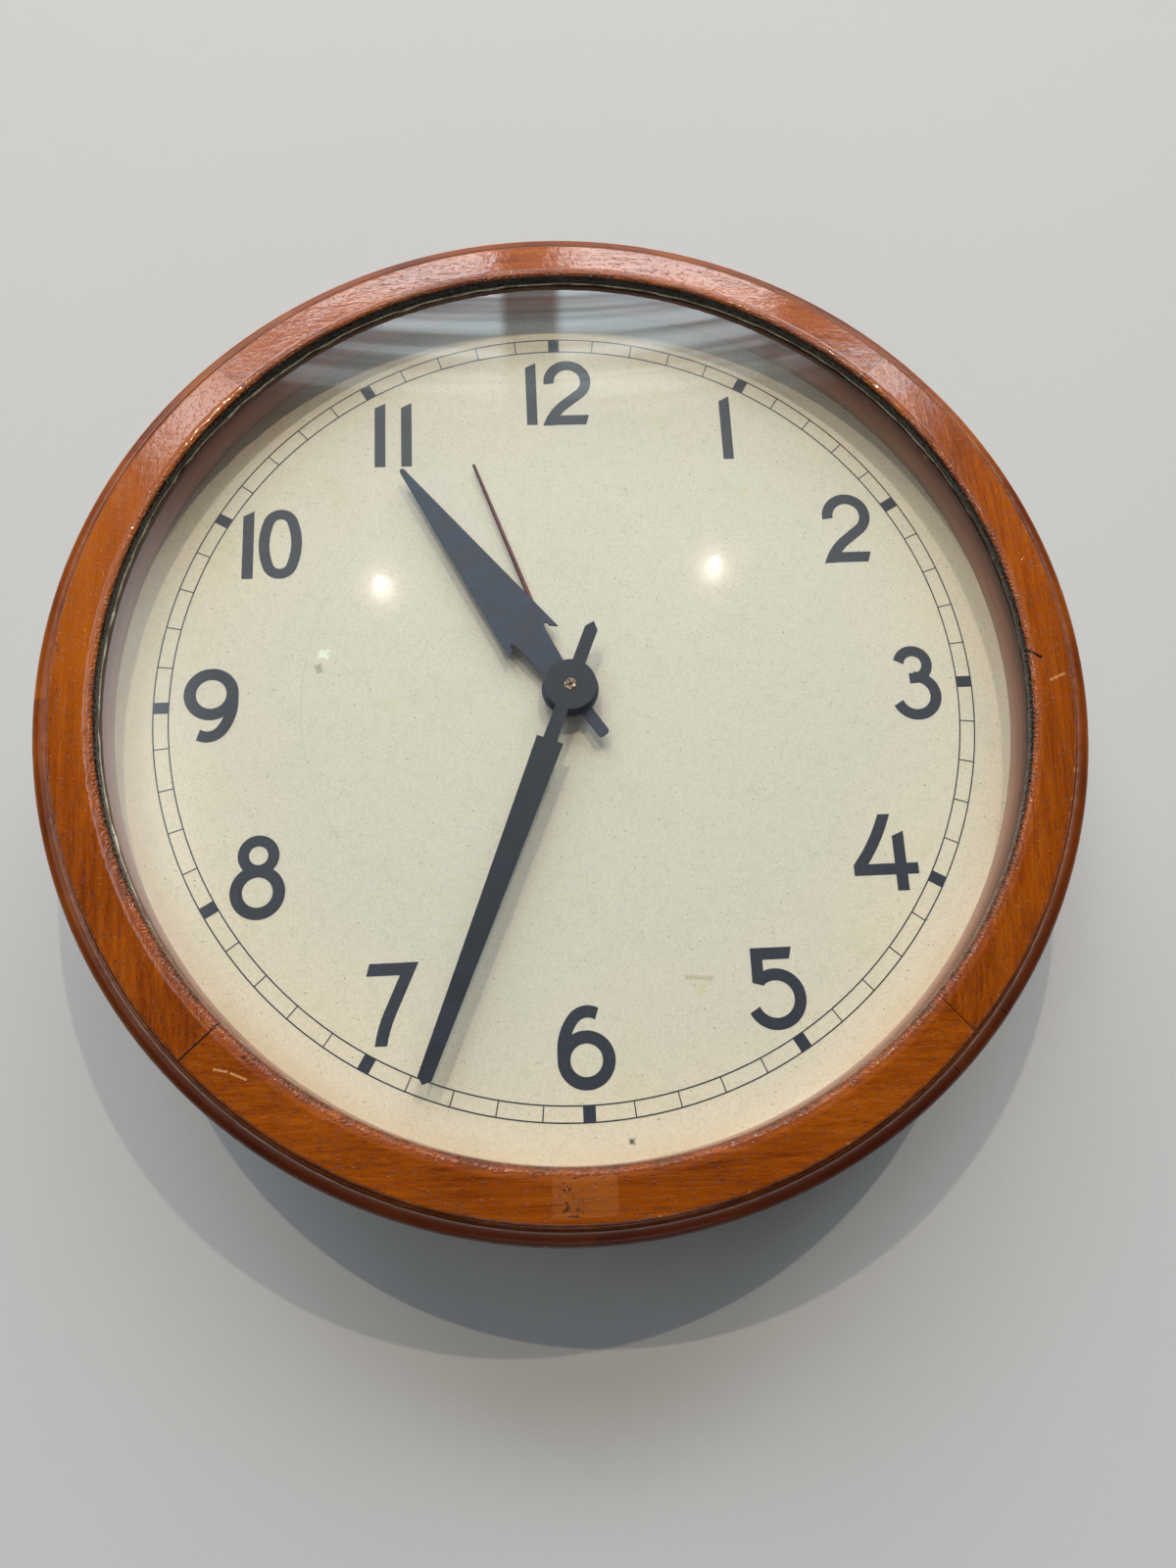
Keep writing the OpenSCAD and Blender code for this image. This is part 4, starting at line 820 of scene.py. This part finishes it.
def dial_enamel(choices):
    """Aged cream enamel: greenish in the middle, yellower at the rim, with specks and faint scratches."""
    finish = Finish("dial_enamel", roughness=0.42, specular=0.25, coat=0.02, coat_roughness=0.09)
    radius = finish.radius()
    cloud = finish.noise(60, detail=4.0, rough=0.55)
    mottle = finish.noise(3.2, detail=3.0, rough=0.6)
    reach = plus(radius, times(minus(cloud, 0.5), 90 * MM))
    colour = blend(span(reach, 95, 158), choices.middle, choices.rim)
    colour = over(colour, between(mottle, 0.45, 0.75), 0.14, paint(176, 168, 140))
    grain = between(finish.noise(0.8, rough=0.7), 0.4, 0.7)
    colour = over(colour, grain, 0.2, paint(160, 150, 128))
    stain = finish.noise(24, (0.2, 0.1, 0.3), detail=4.0, rough=0.6)
    colour = over(colour, between(stain, 0.56, 0.72), 0.16, paint(196, 196, 140))
    rim_grime = times(span(radius, 146, 155), between(cloud, 0.35, 0.65))
    colour = over(colour, rim_grime, 0.35, paint(190, 158, 116))
    specks = between(finish.noise(0.9, (0.5, 0.3, 0.1), detail=0.0), 0.8, 0.84)
    colour = over(colour, specks, 0.6, paint(96, 82, 60))
    for start, end, width, tint, share in DIAL_STAINS:
        colour = over(colour, finish.mark(start, end, width, 1.0, ragged=0.5), share, tint)
    arc = span(absolute(minus(radius, 91.8 * MM)), 0.35, 0.1)
    arc = times(arc, span(finish.parts()[0], -60, -80))
    colour = over(colour, arc, 0.3, paint(190, 184, 160))
    rough = plus(times(mottle, 0.2), 0.32)
    return finish.done(colour, bump(mottle, 0.05), rough)


def printed_ink(choices):
    """Dull blue-black ink of the dial's markings, a little uneven."""
    finish = Finish("printed_ink")
    worn = finish.noise(1.1, detail=3.0, rough=0.65)
    lighter = tuple(part * 1.8 + 0.004 for part in choices.ink)
    colour = blend(between(worn, 0.4, 0.75), choices.ink, lighter)
    return finish.done(colour, bump(worn, 0.01))


def matt_paint(name, tint, roughness):
    """Dull paint on a metal hand, faintly brushed and rubbed."""
    finish = Finish(name, roughness=roughness, specular=0.35)
    cloud = finish.noise(9, detail=4.0, rough=0.6)
    lighter = tuple(min(1.0, part * 1.25 + 0.006) for part in tint)
    colour = blend(between(cloud, 0.35, 0.68), shade(tint, 0.72), lighter)
    rough = plus(times(cloud, 0.25), roughness - 0.12)
    return finish.done(colour, bump(finish.noise(0.3), 0.004), rough)


def old_metal(name, tint, roughness, tarnish):
    """Worked metal with fine tool marks and patches of tarnish."""
    finish = Finish(name, roughness=roughness, metallic=1.0)
    cloud = finish.noise(7, detail=5.0, rough=0.6)
    tool = finish.noise((12, 0.25, 4))
    colour = blend(times(between(cloud, 0.45, 0.7), 0.6), tint, tarnish)
    rough = plus(times(cloud, 0.3), roughness - 0.1)
    return finish.done(colour, bump(tool, 0.015), rough)


def pitted_brass(tint):
    """Brass of the bush at the hands' centre, dull and full of dark pits."""
    finish = Finish("pitted_brass", metallic=0.85)
    pits = between(finish.noise(0.8, detail=3.0, rough=0.7), 0.42, 0.56)
    worn = tuple(0.45 * part + 0.55 * pale for part, pale in zip(tint, paint(214, 178, 172)))
    colour = blend(pits, worn, paint(44, 34, 30))
    return finish.done(colour, bump(pits, 0.15))


def arbor_steel(tint):
    """Steel of the centre arbor, with its tip darkened almost to black."""
    finish = Finish("arbor_steel", roughness=0.45, metallic=0.9)
    stain = finish.noise(2, detail=4.0)
    tip = span(finish.parts()[2], 84, 85)
    colour = blend(between(stain, 0.4, 0.7), tint, (0.3, 0.26, 0.22))
    colour = over(colour, tip, 0.97, paint(14, 11, 9))
    return finish.done(colour, bump(stain, 0.03))


def moulded(name, tint, roughness):
    """Moulded or enamelled surface with slight waves and dust."""
    finish = Finish(name, roughness=roughness)
    cloud = finish.noise(6, detail=4.0, rough=0.6)
    colour = blend(between(cloud, 0.3, 0.7), shade(tint, 0.7), tint)
    rough = plus(times(cloud, 0.3), roughness - 0.1)
    return finish.done(colour, bump(cloud, 0.05), rough)


def floor_paper(choices):
    """Plain pale floor with a barely visible tooth."""
    finish = Finish("floor_paper", roughness=0.8)
    tooth = finish.noise(1.5)
    colour = blend(tooth, shade(choices.floor, 0.97), choices.floor)
    return finish.done(colour, bump(tooth, 0.05))


def area_light(name, place, aim, size, power, tint=(1.0, 1.0, 1.0)):
    """A rectangular soft light at a place, facing the point aim."""
    lamp = bpy.data.lights.new(name, "AREA")
    lamp.shape = "RECTANGLE"
    lamp.size, lamp.size_y = size
    lamp.energy = power
    lamp.color = tint
    holder = bpy.data.objects.new(name, lamp)
    bpy.context.scene.collection.objects.link(holder)
    holder.location = place
    holder.rotation_euler = (Vector(aim) - Vector(place)).to_track_quat("-Z", "Y").to_euler()
    return holder


# Brightness of the room's parts.
SKY = 7.4
OVERHEAD = 0.3
LEFT_WALL = 3.8
ELSEWHERE = 0.04
ROOM_TINT = (0.78, 0.93, 1.0)
# Dark bars across the skylight: middle and half width, as the sideways part of a direction, and darkness.
SKY_BARS = ((0.0113, 0.024, 0.8), (-0.209, 0.007, 0.35), (0.2175, 0.007, 0.35))
BAR_BLUR = 0.006


def soft_room(tree, strength):
    """The room's own light, by direction: a skylight over the 12, a little overhead and at the left."""
    view = add(tree, "TexCoord").outputs["Generated"]
    side, ahead, up = add(tree, "SeparateXYZ", view).outputs
    across = absolute(side)
    wall = times(between(ahead, 0.1, 0.85), between(across, 0.8, 0.3), strength)
    stretched = add(tree, "Mapping", view)
    stretched.inputs["Scale"].default_value = (2.0, 80.0, 1.0)
    blinds = add(tree, "TexNoise", stretched.outputs["Vector"])
    blinds.inputs["Scale"].default_value = 1.0
    sky = times(between(ahead, 0.54, 0.63), between(ahead, 0.82, 0.74))
    sky = times(sky, between(across, 0.62, 0.5), SKY)
    sky = times(sky, plus(between(blinds.outputs["Fac"], 0.38, 0.62), 0.4))
    for bar, half, darkness in SKY_BARS:
        away = absolute(minus(side, bar))
        hidden = times(between(away, half + BAR_BLUR, half - BAR_BLUR), darkness)
        sky = times(sky, minus(1.0, hidden))
    overhead = times(between(up, 0.75, 0.88), between(ahead, -0.3, -0.05), OVERHEAD)
    left = times(between(side, -0.27, -0.38), between(up, 0.77, 0.86))
    left = times(left, between(ahead, -0.15, 0.1), LEFT_WALL)
    background = tree.nodes["Background"]
    feed(background.inputs["Color"], ROOM_TINT)
    feed(background.inputs["Strength"], plus(wall, sky, overhead, left, ELSEWHERE))


# The stage's lengths are in metres and its angles in degrees.
FLOOR_SIZE = 12.0
CAMERA_PLACE = (-13.2 * MM, -119.7 * MM, 422.6 * MM)
CAMERA_TURN = (14.26, -2.244, -2.8)
SENSOR_MILLIMETRES = 36.0
NEAR_CLIP = 0.01
AIM = (0.0, 0.0, 0.08)
# The two large soft lights: name, place, size, share of the key light's power.
SOFT_LIGHTS = (
    ("key_light", (-0.35, 1.65, 1.4), (1.2, 0.5), 1.0),
    ("front_light", (0.1, -2.1, 1.1), (1.2, 0.8), 2.0),
)
# The windows that the bezel's top mirrors: name, place along x, width.
WINDOWS = (("window_left", -0.78, 1.2), ("window_right", 0.62, 1.0))
WINDOW_Y = 2.7
WINDOW_Z = 1.05
WINDOW_HEIGHT = 0.4
WINDOW_BRIGHTNESS = 9.0
WINDOW_TINT = (0.93, 0.96, 1.0)
# The two ceiling lamps that the glass mirrors: name, place.
LAMPS = (("lamp_left", (-0.377, 1.031, 2.2)), ("lamp_right", (0.462, 1.059, 2.2)))
LAMP_SIZE = (0.022, 0.022)
LAMP_TINT = (1.0, 0.88, 0.7)


class ClockStage(bpy.types.Operator):
    """Floor, soft light and the camera that stands where the photograph was taken"""

    bl_idname = "clock.stage"
    bl_label = "Stage"

    def execute(self, context):
        choices = context.scene.clock_stage
        deselect_all()
        bpy.ops.mesh.primitive_grid_add(x_subdivisions=8, y_subdivisions=8, size=FLOOR_SIZE)
        floor = bpy.context.object
        floor.name = "floor"
        floor.data.materials.append(floor_paper(choices))
        camera_data = bpy.data.cameras.new("camera")
        camera_data.lens = choices.lens
        camera_data.sensor_width = SENSOR_MILLIMETRES
        camera_data.clip_start = NEAR_CLIP
        camera = bpy.data.objects.new("camera", camera_data)
        bpy.context.scene.collection.objects.link(camera)
        camera.location = CAMERA_PLACE
        camera.rotation_euler = [math.radians(angle) for angle in CAMERA_TURN]
        bpy.context.scene.camera = camera
        world = bpy.data.worlds.new("soft_room")
        bpy.context.scene.world = world
        world.use_nodes = True
        soft_room(world.node_tree, choices.fill_strength)
        for name, place, size, share in SOFT_LIGHTS:
            area_light(name, place, AIM, size, choices.key_power * share)
        for name, x, width in WINDOWS:
            size = (width, WINDOW_HEIGHT)
            power = WINDOW_BRIGHTNESS * math.pi * width * WINDOW_HEIGHT
            area_light(name, (x, WINDOW_Y, WINDOW_Z), (x, 0.0, AIM[2]), size, power, WINDOW_TINT)
        for name, place in LAMPS:
            lamp = area_light(name, place, AIM, LAMP_SIZE, choices.lamp_power, LAMP_TINT)
            lamp.data.shape = "DISK"
        context.scene.view_settings.view_transform = "Standard"
        return {"FINISHED"}


class ClockBezel(bpy.types.Operator):
    """Varnished hardwood on the four segments of the bezel, each with its own grain"""

    bl_idname = "clock.bezel"
    bl_label = "Bezel"

    def execute(self, context):
        choices = context.scene.clock_wood
        for name in BEZEL_GRAINS:
            dress(bezel_wood(name, choices), name)
        return {"FINISHED"}


SURROUNDS = ("surround_upper_right", "surround_upper_left", "surround_lower_left", "surround_lower_right")
# Where the let-in piece of the layer with the bead begins and ends, in degrees from 3 o'clock.
INSERT_SEAMS = (311.0, 319.0)


class ClockSurround(bpy.types.Operator):
    """Varnished hardwood on the layer with the bead"""

    bl_idname = "clock.surround"
    bl_label = "Surround"

    def execute(self, context):
        choices = context.scene.clock_wood
        for number, name in enumerate(SURROUNDS):
            seams = (90.0 * number, 90.0 * (number + 1))
            if name == "surround_lower_right":
                seams += INSERT_SEAMS
            dress(ring_wood(name, (0.2 * number, 0.4, 0.0), choices, seams), name)
        dress(ring_wood("surround_insert", (0.9, 0.1, 0.0), choices, INSERT_SEAMS), "surround_insert")
        return {"FINISHED"}


class ClockLiner(bpy.types.Operator):
    """Brown paint on the ring between dial and glass"""

    bl_idname = "clock.liner"
    bl_label = "Reveal"

    def execute(self, context):
        dress(liner_paint(context.scene.clock_wood), "reveal_liner")
        return {"FINISHED"}


class ClockGlass(bpy.types.Operator):
    """Clear flat glass"""

    bl_idname = "clock.glass"
    bl_label = "Glass"

    def execute(self, context):
        dress(clear_glass(), "glass")
        return {"FINISHED"}


# Where most putty shows, in degrees from 3 o'clock.
MOST_PUTTY = 135


class ClockPutty(bpy.types.Operator):
    """Irregular putty that shows here and there between glass and bezel"""

    bl_idname = "clock.putty"
    bl_label = "Putty"

    def execute(self, context):
        inner, outer = SIGHT, GLASS_RADIUS - 0.2 * MM
        pen = Pen(outer - inner, PUTTY_TOP - GLASS_TOP, GLASS_TOP, arc_step=1.0)
        middle = (inner + outer) / 2
        putty = pen.stroke((middle, 0.0), 90.0, [("arc", middle, 360.0)])
        lumps = random.Random(12)
        waves = []
        for count in (5, 11, 23, 37, 61, 90):
            waves.append((lumps.uniform(0.05, 0.34), count, lumps.uniform(0, math.tau)))
        for vertex in putty.data.vertices:
            if Vector(vertex.co[:2]).length > middle:
                continue
            angle = math.atan2(vertex.co.y, vertex.co.x)
            push = sum(height * math.sin(count * angle + start) for height, count, start in waves)
            shown = 0.5 + 0.5 * math.cos(angle - math.radians(MOST_PUTTY))
            reach = (inner + max(-0.7, 0.5 - 0.75 * shown - push * (0.2 + 0.5 * shown)) * MM) / inner
            vertex.co.x *= reach
            vertex.co.y *= reach
        putty.name = "glazing_putty_line"
        finish_piece(putty, CASE, old_putty(context.scene.clock_metal))
        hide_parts("glazing_putty")
        return {"FINISHED"}


class ClockDial(bpy.types.Operator):
    """Aged enamel on the dial plate"""

    bl_idname = "clock.dial"
    bl_label = "Dial"

    def execute(self, context):
        dress(dial_enamel(context.scene.clock_dial), "dial_plate")
        return {"FINISHED"}


class ClockMinuteTrack(bpy.types.Operator):
    """Two rings, the minute lines between them and the hour blocks"""

    bl_idname = "clock.minute_track"
    bl_label = "Minute track"

    def execute(self, context):
        choices = context.scene.clock_dial
        line = Pen(choices.ring_line, choices.ink_height, DIAL_TOP, arc_step=1.0)
        rings = []
        for radius in (choices.track_inner, choices.track_outer):
            rings.append(line.stroke((radius, 0.0), 90.0, [("arc", radius, 360.0)]))
        start = (choices.track_inner, 0.0)
        length = choices.track_outer - choices.track_inner
        minute_pen = Pen(choices.minute_line, choices.ink_height, DIAL_TOP)
        minute = minute_pen.stroke(start, 0.0, [("line", length)])
        block_pen = Pen(choices.hour_block, choices.ink_height, DIAL_TOP)
        block = block_pen.stroke(start, 0.0, [("line", length + choices.ring_line / 2)])
        marks = []
        for number in range(60):
            source = block if number % 5 == 0 else minute
            marks.append(placed_copy(source, "mark", turn=math.tau * number / 60))
        for source in (minute, block):
            bpy.data.objects.remove(source)
        track = fuse([join_pieces(rings, "rings"), join_pieces(marks, "marks")], "minute_track")
        finish_piece(track, CASE, printed_ink(choices))
        return {"FINISHED"}


class ClockNumerals(bpy.types.Operator):
    """The twelve plain numerals, drawn with a pen of even width"""

    bl_idname = "clock.numerals"
    bl_label = "Numerals"

    def execute(self, context):
        choices = context.scene.clock_dial
        digits = {}
        for digit, strokes in numeral_strokes(choices.stroke / MM).items():
            drawn = []
            for width, start, heading, moves, start_cut, end_cut in strokes:
                pen = Pen(width * MM, choices.ink_height, DIAL_TOP)
                steps = [(move[0], move[1] * MM, *move[2:]) for move in moves]
                spot = (start[0] * MM, start[1] * MM)
                drawn.append(pen.stroke(spot, heading, steps, start_cut, end_cut))
            digits[digit] = fuse(drawn, "digit_" + digit)
        ink = printed_ink(choices)
        for number, places in NUMERALS.items():
            copies = []
            for digit, spot, turn in places:
                shift = (spot[0] * MM, spot[1] * MM)
                copies.append(placed_copy(digits[digit], "copy", shift, math.radians(turn)))
            finish_piece(join_pieces(copies, f"numeral_{number}"), CASE, ink)
        for digit in digits.values():
            bpy.data.objects.remove(digit)
        return {"FINISHED"}


class ClockHands(bpy.types.Operator):
    """Matt paint on the three hands and pitted brass on the bush at their centre"""

    bl_idname = "clock.hands"
    bl_label = "Hands"

    def execute(self, context):
        choices = context.scene.clock_metal
        dress(matt_paint("hour_paint", choices.hand, 0.5), "hour_hand", "hour_hand_collet")
        dress(matt_paint("minute_paint", shade(choices.hand, 0.35), 0.55), "minute_hand")
        dress(matt_paint("seconds_paint", choices.seconds, 0.35), "seconds_hand")
        dress(pitted_brass(choices.brass), "minute_hand_bush")
        return {"FINISHED"}


class ClockBackBox(bpy.types.Operator):
    """Bent hoop, boards and blocks behind the dial"""

    bl_idname = "clock.back_box"
    bl_label = "Back box"

    def execute(self, context):
        choices = context.scene.clock_wood
        dress(hoop_wood(choices), "box_hoop")
        dress(plywood(choices), "mounting_board", "back_board", "glue_blocks")
        return {"FINISHED"}


class ClockMovement(bpy.types.Operator):
    """Brass and steel of the movement, its plates, wheels, arbors and screws"""

    bl_idname = "clock.movement"
    bl_label = "Movement"

    def execute(self, context):
        choices = context.scene.clock_metal
        brass = old_metal("old_brass", choices.brass, 0.34, paint(128, 98, 48))
        steel = old_metal("bright_steel", choices.steel, 0.32, (0.3, 0.27, 0.24))
        dress_plain({"brass": brass, "steel": steel})
        dress(arbor_steel(choices.steel), "centre_arbor")
        return {"FINISHED"}


class ClockElectrics(bpy.types.Operator):
    """Motor, knob, terminal block, bush and leads"""

    bl_idname = "clock.electrics"
    bl_label = "Electrics"

    def execute(self, context):
        choices = context.scene.clock_metal
        dress_plain({
            "bakelite": moulded("bakelite_brown", choices.bakelite, 0.25),
            "motor_case": moulded("motor_enamel", choices.motor, 0.4),
            "lead_cover": moulded("lead_sleeve", choices.lead, 0.6),
        })
        return {"FINISHED"}


class ClockPanel(bpy.types.Panel):
    """Lists the clock's choices and the operators that make its pieces"""

    bl_idname = "VIEW3D_PT_clock"
    bl_label = "Wall clock"
    bl_space_type = "VIEW_3D"
    bl_region_type = "UI"
    bl_category = "Clock"

    def draw(self, context):
        scene = context.scene
        for group in (scene.clock_stage, scene.clock_wood, scene.clock_dial, scene.clock_metal):
            box = self.layout.box()
            for choice in group.bl_rna.properties:
                if not choice.is_readonly and choice.identifier != "name":
                    box.prop(group, choice.identifier)
        for operator in OPERATORS:
            self.layout.operator(operator.bl_idname)


CHOICES = {
    "clock_stage": StageChoices,
    "clock_wood": WoodChoices,
    "clock_dial": DialChoices,
    "clock_metal": MetalChoices,
}
OPERATORS = (
    ClockStage,
    ClockBezel,
    ClockSurround,
    ClockLiner,
    ClockGlass,
    ClockPutty,
    ClockDial,
    ClockMinuteTrack,
    ClockNumerals,
    ClockHands,
    ClockBackBox,
    ClockMovement,
    ClockElectrics,
)


def register():
    for name, group in CHOICES.items():
        bpy.utils.register_class(group)
        setattr(bpy.types.Scene, name, bpy.props.PointerProperty(type=group))
    for operator in OPERATORS:
        bpy.utils.register_class(operator)
    bpy.utils.register_class(ClockPanel)


def unregister():
    bpy.utils.unregister_class(ClockPanel)
    for operator in reversed(OPERATORS):
        bpy.utils.unregister_class(operator)
    for name, group in reversed(CHOICES.items()):
        delattr(bpy.types.Scene, name)
        bpy.utils.unregister_class(group)


def main():
    register()
    bpy.ops.clock.stage()
    bpy.ops.clock.bezel()
    bpy.ops.clock.surround()
    bpy.ops.clock.liner()
    bpy.ops.clock.glass()
    bpy.ops.clock.putty()
    bpy.ops.clock.dial()
    bpy.ops.clock.minute_track()
    bpy.ops.clock.numerals()
    bpy.ops.clock.hands()
    bpy.ops.clock.back_box()
    bpy.ops.clock.movement()
    bpy.ops.clock.electrics()


if __name__ == "__main__":
    main()
